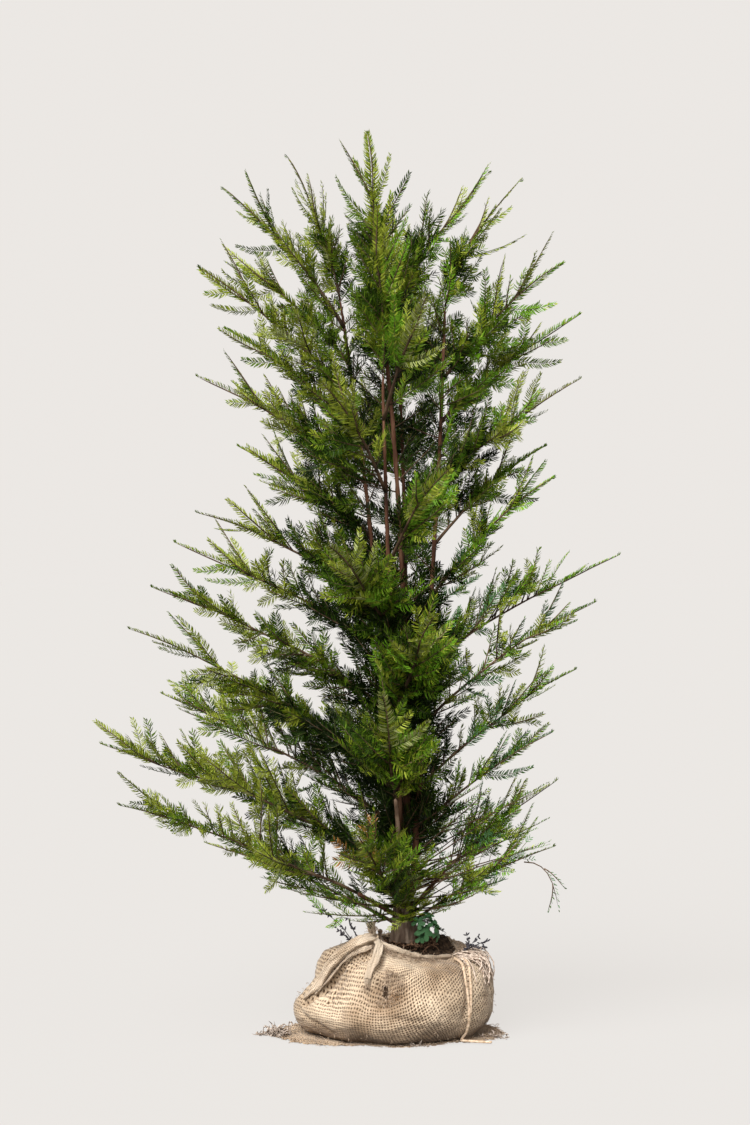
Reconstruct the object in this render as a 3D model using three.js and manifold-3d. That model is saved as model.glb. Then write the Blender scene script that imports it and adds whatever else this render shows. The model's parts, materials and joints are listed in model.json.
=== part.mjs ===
// A young yew of five upright stems on a root ball wrapped in jute cloth.
// Units are millimetres. +Z is up and the front is -Y. The origin is the middle of the flat
// underside of the wrapped ball. The parts from the ground up: the cloth wrap with its knot and
// twine, the ball of soil inside it, the bole, the stems, the long low boughs, and one mass of
// needle sprays at the end of every branch.
import * as THREE from "three";
import { mergeVertices } from "three/addons/utils/BufferGeometryUtils.js";
import Module from "manifold-3d";

const wasm = await Module();
wasm.setup();

// ---- driving dimensions ----

const GAP = 0.3; // clearance between neighbouring solids
const SOIL_GAP = 4; // between the soil and the cloth
const END_GAP = 0.7; // clearance between the ends of limbs, which meet at a slight angle

const SOIL_LEVEL = 176; // the soil's surface at the bole
const SOIL_FLAT_RADIUS = 58; // the level middle of the soil's surface
const BOLE_X = 22; // the bole stands a little to the right of the ball's middle
const OPENING_X = 30; // and so does the wrap's opening
const BOLE_RADIUS = 23;
const FLARE_RADIUS = 28;
const FORK_HEIGHT = 262; // the bole's flat top, where the stems part

const WRAP = {
  footRadius: 150, // the flat underside
  bellyRadius: 200,
  bellyHeight: 68,
  shoulderRadius: 163,
  shoulderHeight: 150,
  rimRadius: 104,
  rimHeight: 178,
  wall: 5,
  segments: 24,
  stations: 7, // rings from the foot to the rim
};
const KNOT_AZIMUTH = 230; // where the cloth's corners are tied, on the front left of the rim
const KNOT_LIFT = 16; // the knot pulls the rim up by this much
const KNOT_NECK = { size: [14, 9, 26], rise: 14 }; // the gathered end that stands up out of the knot
const FRONT_AZIMUTH = 290; // the rim hangs lower at the front
const FRONT_DIP = 16;
const RIGHT_AZIMUTH = 350; // and a little lower on the right
const RIGHT_DIP = 10;

// Stems: footTurn places the foot round the bole's top, and the other points are where the stem
// passes at a third and at two thirds of its height, and where it ends.
const STEM_RING = 15.6;
const STEMS = {
  leader: {
    ring: 0,
    footTurn: 0,
    radius: 8.5,
    third: [50, 0, 700],
    twoThirds: [20, 5, 1100],
    end: [-30, 0, 1500],
  },
  left: {
    ring: STEM_RING,
    footTurn: 180,
    radius: 6.6,
    third: [-5, -20, 620],
    twoThirds: [-45, -25, 1060],
    end: [-108, -10, 1480],
  },
  right: {
    ring: STEM_RING,
    footTurn: 0,
    radius: 6.8,
    third: [85, -5, 600],
    twoThirds: [95, 0, 1080],
    end: [105, 5, 1470],
  },
  front: {
    ring: STEM_RING,
    footTurn: 252,
    radius: 6.2,
    third: [0, -72, 620],
    twoThirds: [-18, -78, 980],
    end: [-22, -72, 1330],
  },
  back: {
    ring: STEM_RING,
    footTurn: 72,
    radius: 6.4,
    third: [38, 78, 600],
    twoThirds: [30, 95, 1000],
    end: [10, 88, 1400],
  },
};
const STEM_TIP_RADIUS = 2.8;
const STEM_SIDES = 6;
const STEM_STEPS = 9;

// Branches: [name, what it grows from, height of its root, azimuth, reach, height of its tip, bare share].
// The bare share of a branch is its own solid, a bough, and the rest is a mass of sprays. Where it is 0
// the mass grows straight from the stem. A branch rooted at a stem's end carries that stem on.
const END = "end";
const BRANCHES = [
  ["top_leader", "leader", END, 200, 24, 1821, 0],
  ["top_left", "left", END, 178, 112, 1772, 0],
  ["top_right", "right", END, 352, 152, 1724, 0],
  ["top_front", "front", END, 262, 95, 1655, 0],
  ["top_back", "back", END, 96, 100, 1690, 0],

  ["left_1", "left", 1425, 192, 246, 1699, 0],
  ["left_2", "left", 1350, 146, 290, 1577, 0],
  ["left_3", "left", 1275, 197, 325, 1529, 0],
  ["left_4", "left", 1205, 155, 305, 1441, 0],
  ["left_5", "left", 1110, 186, 342, 1324, 0],
  ["left_6", "left", 1000, 150, 320, 1190, 0],
  ["left_7", "left", 880, 196, 378, 1046, 0],
  ["left_8", "left", 770, 168, 436, 989, 0],
  ["left_9", "left", 650, 208, 515, 905, 0],
  ["left_10", "left", 520, 181, 536, 812, 0],
  ["left_11", "left", 415, 153, 560, 666, 0.2],
  ["left_12", "left", 325, 188, 598, 585, 0.18],
  ["left_13", "bole", 222, 209, 626, 487, 0.2],
  ["left_14", "bole", 205, 166, 426, 366, 0],

  ["right_1", "leader", 1420, 10, 216, 1748, 0],
  ["right_2", "right", 1320, 338, 258, 1547, 0],
  ["right_3", "right", 1235, 22, 316, 1462, 0],
  ["right_4", "right", 1110, 350, 292, 1314, 0],
  ["right_5", "right", 985, 28, 262, 1190, 0],
  ["right_6", "right", 880, 333, 268, 1121, 0],
  ["right_7", "right", 735, 6, 400, 964, 0],
  ["right_8", "right", 620, 336, 366, 873, 0],
  ["right_9", "right", 490, 18, 346, 727, 0],
  ["right_10", "right", 400, 336, 292, 616, 0],
  ["right_11", "bole", 226, 8, 316, 500, 0.3],
  ["right_12", "bole", 206, 338, 318, 384, 0],

  ["front_1", "front", 1235, 292, 225, 1460, 0],
  ["front_2", "front", 1090, 240, 245, 1300, 0],
  ["front_3", "front", 945, 296, 262, 1130, 0],
  ["front_4", "front", 800, 246, 300, 985, 0],
  ["front_5", "front", 640, 284, 310, 850, 0],
  ["front_6", "front", 330, 262, 285, 700, 0.36],
  ["front_7", "bole", 214, 252, 330, 440, 0],

  ["back_1", "back", 1290, 66, 235, 1500, 0],
  ["back_2", "back", 1120, 118, 262, 1330, 0],
  ["back_3", "back", 960, 62, 285, 1150, 0],
  ["back_4", "back", 800, 122, 330, 990, 0],
  ["back_5", "back", 620, 78, 350, 830, 0],
  ["back_6", "back", 430, 118, 385, 640, 0],
  ["back_7", "bole", 222, 80, 385, 470, 0],
];
const BRANCH_FOOT_RADIUS = 5.2;
const BRANCH_TIP_RADIUS = 1.6;
const ARCH_OUT = 0.42; // a branch's middle control point lies this share of the way out
const ARCH_UP = 0.6; // and this share of the way up, so that branches arch over

// Sprays: flat toothed blades with a ridge along the middle.
const SPRAY = {
  tipHalfWidth: 28, // from the ridge to a tooth's tip, on the blade that ends a branch
  sideHalfWidth: 60, // and at most on the sprays along its sides
  widthShare: 0.42, // of a side spray's length, for its half width
  web: 0.36, // the blade between its teeth is this share as wide
  lean: 0.95, // a tooth leans forward by this share of the half width
  lift: 0.18, // and rises by this share of it
  ribHalfWidth: 2.6, // at the blade's foot
  ridge: 2.6, // the ridge's height over the blade's edges
  toothPitch: 66,
  tipShare: 0.5, // the outer share of a mass's own stem that is a blade
  longest: 185,
  shortest: 80,
  rise: 24, // the longest spray bends up by this much at its tip
  tries: 10, // at each size
};
const SHRINK = [1, 0.78, 0.6, 0.45]; // a spray that leaves its mass's space is tried again at these sizes

// Side sprays stand to both sides of a branch, up to the clear lead at its end.
const SIDE = {
  first: 0.03, // where the first one leaves it
  lead: 185, // clear length at the end of a branch
  topLead: 215, // and of one that carries a stem on
  leastReach: 0.34, // they stand on at least this share of the branch
  spacing: 66, // along the branch
  lengthShare: 0.58, // of the way left to the branch's tip
  topLengthShare: 0.36,
  spread: [30, 56], // angle to the branch
  roll: [-40, 130], // how far round it they have turned, from level to upright and over
  clearance: 50, // between the middle lines of neighbouring sprays
  chance: [0.85, 1.15], // how far a length strays from the rule
};

// ---- colours ----

const BARK = new THREE.MeshStandardMaterial({ color: 0x6b4a35, roughness: 0.85, metalness: 0 });
const NEEDLES = new THREE.MeshStandardMaterial({ color: 0x3f5f1f, roughness: 0.6, metalness: 0 });
const JUTE = new THREE.MeshStandardMaterial({ color: 0xb79a72, roughness: 0.95, metalness: 0 });
const SOIL = new THREE.MeshStandardMaterial({ color: 0x3a2a1f, roughness: 1, metalness: 0 });
const TWINE_JUTE = new THREE.MeshStandardMaterial({ color: 0xd0b490, roughness: 0.9, metalness: 0 });

// ---- helpers ----

const UP = new THREE.Vector3(0, 0, 1);
const radians = THREE.MathUtils.degToRad;

// A seeded generator, so that every build draws the same plant.
function makeRandom(seed) {
  let state = Math.imul(seed, 2654435761) >>> 0;
  return () => {
    state = (Math.imul(state, 1664525) + 1013904223) >>> 0;
    return state / 4294967296;
  };
}

const between = ([low, high], random) => low + (high - low) * random();

// A closed geometry as a manifold solid.
function solidOf(shape) {
  const bare = new THREE.BufferGeometry();
  bare.setAttribute("position", shape.getAttribute("position"));
  bare.setIndex(shape.getIndex());
  const merged = mergeVertices(bare, 1e-3);
  return new wasm.Manifold(
    new wasm.Mesh({
      numProp: 3,
      vertProperties: merged.attributes.position.array,
      triVerts: new Uint32Array(merged.index.array),
    }),
  );
}

// A manifold solid as a geometry, with any loose scrap left out.
function geometryOf(solid) {
  const largest = solid.decompose().reduce((a, b) => (a.volume() > b.volume() ? a : b));
  const mesh = largest.getMesh();
  const shape = new THREE.BufferGeometry();
  const position = new Float32Array(mesh.numVert * 3);
  for (let i = 0; i < mesh.numVert; i++) {
    position.set(mesh.vertProperties.subarray(i * mesh.numProp, i * mesh.numProp + 3), i * 3);
  }
  shape.setAttribute("position", new THREE.BufferAttribute(position, 3));
  shape.setIndex(new THREE.BufferAttribute(mesh.triVerts, 1));
  shape.computeVertexNormals();
  return shape;
}

const plant = new THREE.Group();

function addNode(name, solid, material) {
  const node = new THREE.Mesh(geometryOf(solid), material);
  node.name = name;
  plant.add(node);
}

// Point, direction and two cross directions of a path. The side direction is level where it can be.
function frameAt(path, t) {
  const step = 0.01;
  const tangent = path.getPoint(Math.min(t + step, 1)).sub(path.getPoint(Math.max(t - step, 0))).normalize();
  const reference = Math.abs(tangent.z) > 0.97 ? new THREE.Vector3(0, 1, 0) : UP;
  const side = new THREE.Vector3().crossVectors(tangent, reference).normalize();
  const lift = new THREE.Vector3().crossVectors(side, tangent);
  return { point: path.getPoint(t), tangent, side, lift };
}

// Part of a path, from one share of it to another.
function stretch(path, from, to) {
  return { getPoint: (t) => path.getPoint(from + (to - from) * t) };
}

// A limb that follows a path and tapers, made from a cylinder whose rings are moved along the path.
function limb(path, radiusAt, sides, steps) {
  const shape = new THREE.CylinderGeometry(1, 1, 1, sides, steps);
  const position = shape.getAttribute("position");
  for (let i = 0; i < position.count; i++) {
    const t = position.getY(i) + 0.5;
    const { point, side, tangent } = frameAt(path, t);
    const other = new THREE.Vector3().crossVectors(side, tangent);
    point.addScaledVector(side, position.getX(i) * radiusAt(t));
    point.addScaledVector(other, position.getZ(i) * radiusAt(t));
    position.setXYZ(i, point.x, point.y, point.z);
  }
  return solidOf(shape);
}

// ---- root ball ----

// The cloth's outer profile from the edge of the foot to the rim, as radius and height.
const wrapProfile = new THREE.SplineCurve([
  new THREE.Vector2(WRAP.footRadius, 0),
  new THREE.Vector2((WRAP.footRadius + WRAP.bellyRadius) / 2 + 11, WRAP.bellyHeight / 4),
  new THREE.Vector2(WRAP.bellyRadius, WRAP.bellyHeight),
  new THREE.Vector2(WRAP.shoulderRadius, WRAP.shoulderHeight),
  new THREE.Vector2(WRAP.rimRadius, WRAP.rimHeight),
]);

// The ball isn't round: it slumps into lobes, its top leans to the right, the band tucks in its left
// side, and its rim is pulled up at the knot and hangs lower at the front and on the right.
function slump(point, lift = KNOT_LIFT) {
  const azimuth = Math.atan2(point.y, point.x);
  const high = THREE.MathUtils.clamp(point.z / WRAP.rimHeight, 0, 1);
  const lobes = 0.02 * Math.cos(3 * azimuth + 2.2) + 0.014 * Math.cos(5 * azimuth + 1.9);
  const pleats = 0.014 * high * Math.cos(11 * azimuth);
  const shoulder = 0.07 * Math.max(0, Math.cos(azimuth)) * Math.sin(Math.PI * high) * high;
  const tuck = 0.12 * Math.max(0, -Math.cos(azimuth)) * Math.exp(-(((high - 0.6) / 0.17) ** 2));
  const scale = 1 + lobes + pleats + shoulder - tuck;
  const nearKnot = Math.max(0, Math.cos(azimuth - radians(KNOT_AZIMUTH))) ** 3;
  const nearFront = Math.max(0, Math.cos(azimuth - radians(FRONT_AZIMUTH))) ** 2;
  const nearRight = Math.max(0, Math.cos(azimuth - radians(RIGHT_AZIMUTH))) ** 3;
  const outer = THREE.MathUtils.clamp(Math.hypot(point.x, point.y) / WRAP.rimRadius, 0, 1) ** 2;
  const rise = lift * nearKnot - FRONT_DIP * nearFront - RIGHT_DIP * nearRight * outer;
  return point.set(point.x * scale + OPENING_X * high ** 3, point.y * scale, point.z + rise * high ** 4);
}

// A point on the cloth, at an azimuth and a share of the way from foot to rim, standing off by some distance.
function onWrap(azimuth, share, standOff) {
  const at = wrapProfile.getPoint(share);
  const run = wrapProfile.getTangent(share);
  const radius = at.x + run.y * standOff;
  const height = at.y - run.x * standOff;
  const a = radians(azimuth);
  return slump(new THREE.Vector3(radius * Math.cos(a), radius * Math.sin(a), height));
}

// A profile spun round the Z axis and slumped. The profile starts and ends on the axis.
function spun(profile, lift) {
  const shape = new THREE.LatheGeometry(profile, WRAP.segments);
  shape.rotateX(Math.PI / 2);
  const position = shape.getAttribute("position");
  const point = new THREE.Vector3();
  for (let i = 0; i < position.count; i++) {
    slump(point.fromBufferAttribute(position, i), lift);
    position.setXYZ(i, point.x, point.y, point.z);
  }
  const solid = solidOf(shape);
  if (solid.volume() > 0) return solid;
  shape.setIndex([...shape.getIndex().array].reverse());
  return solidOf(shape);
}

// The profile moved inwards by some distance, from the foot's middle up to the rim.
function innerProfile(inset) {
  const points = [new THREE.Vector2(0, inset)];
  for (let i = 0; i <= WRAP.stations; i++) {
    const share = i / WRAP.stations;
    const at = wrapProfile.getPoint(share);
    const run = wrapProfile.getTangent(share);
    points.push(new THREE.Vector2(at.x - run.y * inset, Math.max(at.y + run.x * inset, inset)));
  }
  return points;
}

// Rolled or folded lengths of cloth lying on the wrap, sunk a little into it. A stop is an azimuth, a
// share of the way from foot to rim, and the roll's radius there.
const CLOTH_ROLLS = {
  // the twisted corner that runs from the left side up to the knot
  band: {
    stops: [[205, 0.47, 9], [212, 0.62, 13], [219, 0.8, 15], [226, 0.93, 14], [231, 1, 12]],
    radiusAt: (t) => 6 + 9 * Math.sin(Math.PI * (0.12 + 0.68 * t)),
  },
  // the rolled rim that runs from the knot round the front of the opening
  rim: {
    stops: [[233, 0.98, 10], [252, 0.96, 9], [275, 0.96, 7], [297, 0.97, 6], [316, 0.98, 5]],
    radiusAt: (t) => 10 - 5 * t,
  },
  // the ear of cloth that hangs below the knot
  ear: {
    stops: [[232, 0.98, 10], [243, 0.85, 11], [251, 0.7, 10], [256, 0.58, 7]],
    radiusAt: (t) => 6 + 6 * Math.sin(Math.PI * (0.2 + 0.7 * t)),
  },
};
const CLOTH_SINK = 3.2;
function clothRoll(stops, radiusAt) {
  const points = stops.map(([azimuth, share, radius]) => onWrap(azimuth, share, radius - CLOTH_SINK));
  return limb(new THREE.CatmullRomCurve3(points), radiusAt, 6, 7);
}

function buildWrap() {
  const outer = innerProfile(0);
  const inner = innerProfile(WRAP.wall).reverse();
  inner[0].y = WRAP.rimHeight - 1;
  let cloth = spun([...outer, ...inner]);
  for (const { stops, radiusAt } of Object.values(CLOTH_ROLLS)) cloth = cloth.add(clothRoll(stops, radiusAt));
  // the gathered end that stands up out of the knot
  const knot = onWrap(KNOT_AZIMUTH, 1, 0);
  const neck = new THREE.SphereGeometry(1, 9, 7);
  neck.rotateX(Math.PI / 2);
  neck.scale(...KNOT_NECK.size);
  neck.translate(knot.x - 2, knot.y - 3, knot.z + KNOT_NECK.rise);
  return cloth.add(solidOf(neck));
}

function buildSoil() {
  const side = innerProfile(WRAP.wall + SOIL_GAP).slice(0, -1);
  const top = [
    new THREE.Vector2(SOIL_FLAT_RADIUS, SOIL_LEVEL),
    new THREE.Vector2(0, SOIL_LEVEL),
  ];
  return spun([...side, ...top], 0);
}

// Two strands of twine down the front right of the ball. They cross, join and run out on the ground.
// A stop is an azimuth and a share of the way from foot to rim, and a tail is points on the ground.
const TWINE = {
  radius: 2.6,
  standOff: 2.6,
  long: {
    stops: [[318, 0.92], [315.5, 0.8], [313.5, 0.64], [314, 0.48], [315.5, 0.33], [316, 0.2]],
    tail: [[138, -138], [160, -147], [192, -154]],
    steps: 15,
  },
  short: {
    stops: [[325, 0.91], [321, 0.8], [317, 0.66], [315.4, 0.55], [314.8, 0.45], [315.4, 0.36]],
    tail: [],
    steps: 7,
  },
};
function twineStrand({ stops, tail, steps }) {
  const points = stops.map(([azimuth, share]) => onWrap(azimuth, share, TWINE.radius + TWINE.standOff));
  const height = TWINE.radius + SKIRT.thickness + 2 * GAP;
  tail.forEach(([x, y]) => points.push(new THREE.Vector3(x, y, height)));
  return limb(new THREE.CatmullRomCurve3(points), () => TWINE.radius, 5, steps);
}

// The loose edge of the cloth, flat on the ground round the front of the ball: wide at the left and
// the right, and narrow in front. Its outer edge is frayed.
const SKIRT = {
  thickness: 3,
  gap: 5, // to the foot of the ball
  from: 166,
  to: 374,
  steps: 40,
  fray: 6,
  narrow: 22,
  left: { azimuth: 202, halfSpan: 46, reach: 70 },
  right: { azimuth: 345, halfSpan: 34, reach: 50 },
};
function skirtReach(at) {
  const lobe = ({ azimuth, halfSpan, reach }) =>
    reach * Math.cos((Math.PI / 2) * Math.min(1, Math.abs(at - azimuth) / halfSpan));
  return SKIRT.narrow + lobe(SKIRT.left) + lobe(SKIRT.right);
}
function onGround(azimuth, radius) {
  const a = radians(azimuth);
  return [radius * Math.cos(a), radius * Math.sin(a)];
}
function buildSkirt() {
  const outline = new THREE.Shape();
  const azimuthAt = (i) => THREE.MathUtils.lerp(SKIRT.from, SKIRT.to, i / SKIRT.steps);
  const inner = (azimuth) => {
    const foot = onWrap(azimuth, 0.05, 0);
    return Math.hypot(foot.x, foot.y) + SKIRT.gap;
  };
  outline.moveTo(...onGround(SKIRT.from, inner(SKIRT.from)));
  for (let i = 0; i <= SKIRT.steps; i++) {
    const azimuth = azimuthAt(i);
    const reach = skirtReach(azimuth);
    const fray = (i % 2 ? 1 : -1) * Math.min(SKIRT.fray, reach / 3);
    outline.lineTo(...onGround(azimuth, inner(azimuth) + reach + fray));
  }
  for (let i = SKIRT.steps; i > 0; i -= 2) outline.lineTo(...onGround(azimuthAt(i), inner(azimuthAt(i))));
  const cloth = new THREE.ExtrudeGeometry(outline, { depth: SKIRT.thickness, bevelEnabled: false });
  return solidOf(cloth).add(frayedBundle());
}

// The bundle of frayed jute at the left end of the skirt.
const BUNDLE = { centre: [-226, -58, 13], size: [40, 27, 12] };
function frayedBundle() {
  const { centre, size } = BUNDLE;
  const random = makeRandom(7);
  const shape = new THREE.IcosahedronGeometry(1, 2);
  const bare = new THREE.BufferGeometry().setAttribute("position", shape.getAttribute("position"));
  const bundle = mergeVertices(bare, 1e-3);
  const position = bundle.getAttribute("position");
  for (let i = 0; i < position.count; i++) {
    const swell = between([0.82, 1.18], random);
    const [x, y, z] = [position.getX(i), position.getY(i), position.getZ(i)];
    position.setXYZ(i, x * swell * size[0], y * swell * size[1], z * swell * size[2]);
  }
  bundle.translate(...centre);
  const ground = new THREE.BoxGeometry(400, 400, 100).translate(centre[0], centre[1], -50);
  return solidOf(bundle).subtract(solidOf(ground));
}

// ---- limbs ----

const bolePath = new THREE.LineCurve3(
  new THREE.Vector3(BOLE_X, 0, SOIL_LEVEL + GAP),
  new THREE.Vector3(BOLE_X, 0, FORK_HEIGHT),
);
const boleRadius = (t) => BOLE_RADIUS + (FLARE_RADIUS - BOLE_RADIUS) * (1 - t) ** 3;

function stemPath({ ring, footTurn, third, twoThirds, end }) {
  const a = radians(footTurn);
  const foot = new THREE.Vector3(BOLE_X + ring * Math.cos(a), ring * Math.sin(a), FORK_HEIGHT + END_GAP);
  const low = new THREE.Vector3(...third);
  const rise = foot.clone().lerp(low, 0.4).setZ(low.z);
  return new THREE.CubicBezierCurve3(foot, rise, new THREE.Vector3(...twoThirds), new THREE.Vector3(...end));
}

const stemRadius = (radius) => (t) => THREE.MathUtils.lerp(radius, STEM_TIP_RADIUS, t ** 0.85);

const limbs = { bole: { path: bolePath, radiusAt: boleRadius, sides: 12, steps: 5 } };
for (const [name, stem] of Object.entries(STEMS)) {
  const radiusAt = stemRadius(stem.radius);
  limbs[name] = { path: stemPath(stem), radiusAt, sides: STEM_SIDES, steps: STEM_STEPS };
}

// The same limb, fatter by the clearance: what is cut with it stays clear of it.
const clearCopy = ({ path, radiusAt, sides, steps }) => limb(path, (t) => radiusAt(t) + GAP, sides, steps);

// Where a path reaches some height.
function shareAtHeight(path, height) {
  let low = 0;
  let high = 1;
  for (let i = 0; i < 30; i++) {
    const middle = (low + high) / 2;
    if (path.getPoint(middle).z < height) low = middle;
    else high = middle;
  }
  return low;
}

// ---- branches ----

function branchFrom([name, parent, rootHeight, azimuth, reach, tipHeight, bareShare]) {
  const { path } = limbs[parent];
  const atEnd = rootHeight === END;
  const root = path.getPoint(atEnd ? 1 : shareAtHeight(path, rootHeight));
  if (atEnd) root.addScaledVector(frameAt(path, 1).tangent, END_GAP);
  const out = new THREE.Vector3(Math.cos(radians(azimuth)), Math.sin(radians(azimuth)), 0);
  const rise = tipHeight - root.z;
  const middle = root.clone().addScaledVector(out, reach * (atEnd ? 0.3 : ARCH_OUT));
  middle.z += rise * ARCH_UP;
  const tip = root.clone().addScaledVector(out, reach);
  tip.z = tipHeight;
  const path3 = new THREE.QuadraticBezierCurve3(root, middle, tip);
  const footRadius = atEnd ? STEM_TIP_RADIUS : BRANCH_FOOT_RADIUS;
  const radiusAt = (t) => THREE.MathUtils.lerp(footRadius, BRANCH_TIP_RADIUS, t ** 0.8);
  const line = Array.from({ length: 13 }, (_, i) => path3.getPoint(i / 12));
  return { name, parent, atEnd, path: path3, radiusAt, bareShare, line, length: path3.getLength() };
}

const branches = BRANCHES.map(branchFrom);

const nearest = new THREE.Vector3();
const segment = new THREE.Line3();
function distanceToLine(point, line) {
  let best = Infinity;
  for (let i = 1; i < line.length; i++) {
    segment.set(line[i - 1], line[i]).closestPointToPoint(point, true, nearest);
    best = Math.min(best, nearest.distanceTo(point));
  }
  return best;
}

const limbLines = Object.values(limbs).map(({ path, radiusAt }) => ({
  line: Array.from({ length: 13 }, (_, i) => path.getPoint(i / 12)),
  radius: radiusAt(0),
}));

// A mass's space is all that lies nearer to its own branch than to any other, clear of the limbs and
// the ball.
const SPACE_MARGIN = 5;
const BALL_TOP = 205;
function isInside(point, own) {
  const mine = distanceToLine(point, own.line);
  if (Math.hypot(point.x, point.y) < WRAP.bellyRadius + 10 && point.z < BALL_TOP) return false;
  if (limbLines.some(({ line, radius }) => distanceToLine(point, line) < radius + SPACE_MARGIN)) return false;
  return branches.every((other) => other === own || distanceToLine(point, other.line) > mine + SPACE_MARGIN);
}

// A toothed blade along a path, turned about it by a twist: a ridged web with a tooth on each side of
// every step, and a pointed end.
function sprayBlade(path, halfWidth, steps, twist) {
  const vertices = [];
  const faces = [];
  const put = (t, along, across, above) => {
    const { point, tangent, side, lift } = frameAt(path, t);
    side.applyAxisAngle(tangent, twist);
    lift.applyAxisAngle(tangent, twist);
    point.addScaledVector(tangent, along).addScaledVector(side, across).addScaledVector(lift, above);
    return vertices.push(point.x, point.y, point.z) / 3 - 1;
  };
  const rings = [];
  for (let i = 0; i < steps; i++) {
    const t = i / steps;
    const web = SPRAY.ribHalfWidth + SPRAY.web * halfWidth * Math.sin(Math.PI * t ** 0.8);
    rings.push({ top: put(t, 0, 0, SPRAY.ridge), right: put(t, 0, web, -1), left: put(t, 0, -web, -1) });
  }
  const tip = put(1, 0, 0, 0);
  for (let i = 0; i + 1 < steps; i++) {
    const here = rings[i];
    const next = rings[i + 1];
    const t = (i + 0.5) / steps;
    const reach = halfWidth * Math.sin(Math.PI * (0.25 + 0.55 * t));
    const right = put(t, reach * SPRAY.lean, reach, reach * SPRAY.lift);
    const left = put(t, reach * SPRAY.lean, -reach, reach * SPRAY.lift);
    faces.push([here.top, here.right, right], [here.top, right, next.top]);
    faces.push([here.right, next.right, right], [next.top, right, next.right]);
    faces.push([here.top, left, here.left], [here.top, next.top, left]);
    faces.push([here.left, left, next.left], [next.top, next.left, left]);
    faces.push([here.right, here.left, next.left], [here.right, next.left, next.right]);
  }
  const last = rings[steps - 1];
  faces.push([rings[0].top, rings[0].left, rings[0].right]);
  faces.push([last.top, last.right, tip], [last.right, last.left, tip], [last.left, last.top, tip]);
  const shape = new THREE.BufferGeometry();
  shape.setAttribute("position", new THREE.Float32BufferAttribute(vertices, 3));
  shape.setIndex(faces.flat());
  return solidOf(shape);
}

const stepsFor = (length) => Math.max(3, Math.round(length / SPRAY.toothPitch) + 1);

// Whether a blade along a path, this wide, keeps to its mass's space.
const FIT_SHARE = 0.8; // the points of the teeth may stand out of it
function fits(path, halfWidth, twist, own) {
  return [0.3, 0.55, 0.8, 1].every((t) => {
    const { point, tangent, side } = frameAt(path, t);
    side.applyAxisAngle(tangent, twist);
    const edge = t < 1 ? halfWidth * FIT_SHARE : 0;
    return [-edge, 0, edge].every((across) => isInside(point.clone().addScaledVector(side, across), own));
  });
}

// Side sprays reach less the nearer they stand to the branch's end.
function sideLength(own, share, random) {
  const lengthShare = own.atEnd ? SIDE.topLengthShare : SIDE.lengthShare;
  const wanted = lengthShare * own.length * (1 - share) * between(SIDE.chance, random);
  return THREE.MathUtils.clamp(wanted, SPRAY.shortest, SPRAY.longest);
}

// One spray of a mass: it leaves the mass's own stem at a share of it, to the left or right. A spray
// that doesn't fit is tried again, turned another way or smaller.
function sideSpray(own, share, hand, random, placed) {
  const frame = frameAt(own.path, share);
  const wanted = sideLength(own, share, random);
  for (const shrink of SHRINK) {
    const length = wanted * shrink;
    const halfWidth = Math.min(SPRAY.sideHalfWidth, SPRAY.widthShare * length);
    for (let i = 0; i < SPRAY.tries; i++) {
      const away = radians(between(SIDE.spread, random));
      const round = radians(between(SIDE.roll, random));
      const twist = Math.PI * random();
      const direction = frame.tangent
        .clone()
        .multiplyScalar(Math.cos(away))
        .addScaledVector(frame.side, hand * Math.sin(away) * Math.cos(round))
        .addScaledVector(frame.lift, Math.sin(away) * Math.sin(round));
      const end = frame.point.clone().addScaledVector(direction, length);
      end.z += (SPRAY.rise * length) / SPRAY.longest;
      const bend = frame.point.clone().addScaledVector(direction, length * 0.5);
      const path = new THREE.QuadraticBezierCurve3(frame.point, bend, end);
      const line = [0.45, 1].map((t) => path.getPoint(t));
      const isClearOf = (other) => line.every((point) => distanceToLine(point, other) > SIDE.clearance);
      if (placed.every(isClearOf) && fits(path, halfWidth, twist, own)) {
        placed.push(line);
        return sprayBlade(path, halfWidth, stepsFor(length), twist);
      }
    }
  }
  return null;
}

// A mass: a stem that carries its branch on, a blade at the end of it, and sprays along its sides.
function buildMass(own, seed) {
  const random = makeRandom(seed);
  const start = own.bareShare ? own.bareShare + GAP / own.length : 0;
  const bladeStart = THREE.MathUtils.lerp(1, start, SPRAY.tipShare);
  const stemEnd = bladeStart + 0.03;
  const stemRadiusAt = (t) => own.radiusAt(THREE.MathUtils.lerp(start, stemEnd, t));
  let mass = limb(stretch(own.path, start, stemEnd), stemRadiusAt, 3, 3);
  const tipPath = stretch(own.path, bladeStart, 1);
  const tipTwist = (seed % 2 ? 1 : -1) * radians(45);
  const tipSteps = stepsFor(own.length * (1 - bladeStart));
  mass = mass.add(sprayBlade(tipPath, SPRAY.tipHalfWidth, tipSteps, tipTwist));
  const placed = [[tipPath.getPoint(0.25), tipPath.getPoint(1)]];
  const lead = own.atEnd ? SIDE.topLead : SIDE.lead;
  const first = THREE.MathUtils.lerp(start, 1, SIDE.first);
  const last = Math.max(1 - lead / own.length, THREE.MathUtils.lerp(start, 1, SIDE.leastReach));
  const count = Math.max(4, Math.round((own.length * (last - first)) / SIDE.spacing));
  for (let i = 0; i < count; i++) {
    const share = THREE.MathUtils.lerp(first, last, (i + 0.3 * random()) / count);
    const spray = sideSpray(own, share, i % 2 ? 1 : -1, random, placed);
    if (spray) mass = mass.add(spray);
  }
  return own.atEnd || own.bareShare ? mass : mass.subtract(clearCopy(limbs[own.parent]));
}

// ---- the plant ----

addNode("cloth_wrap", buildWrap(), JUTE);
addNode("soil_ball", buildSoil(), SOIL);
addNode("twine", twineStrand(TWINE.long).add(twineStrand(TWINE.short)), TWINE_JUTE);
addNode("skirt", buildSkirt(), JUTE);

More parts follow.
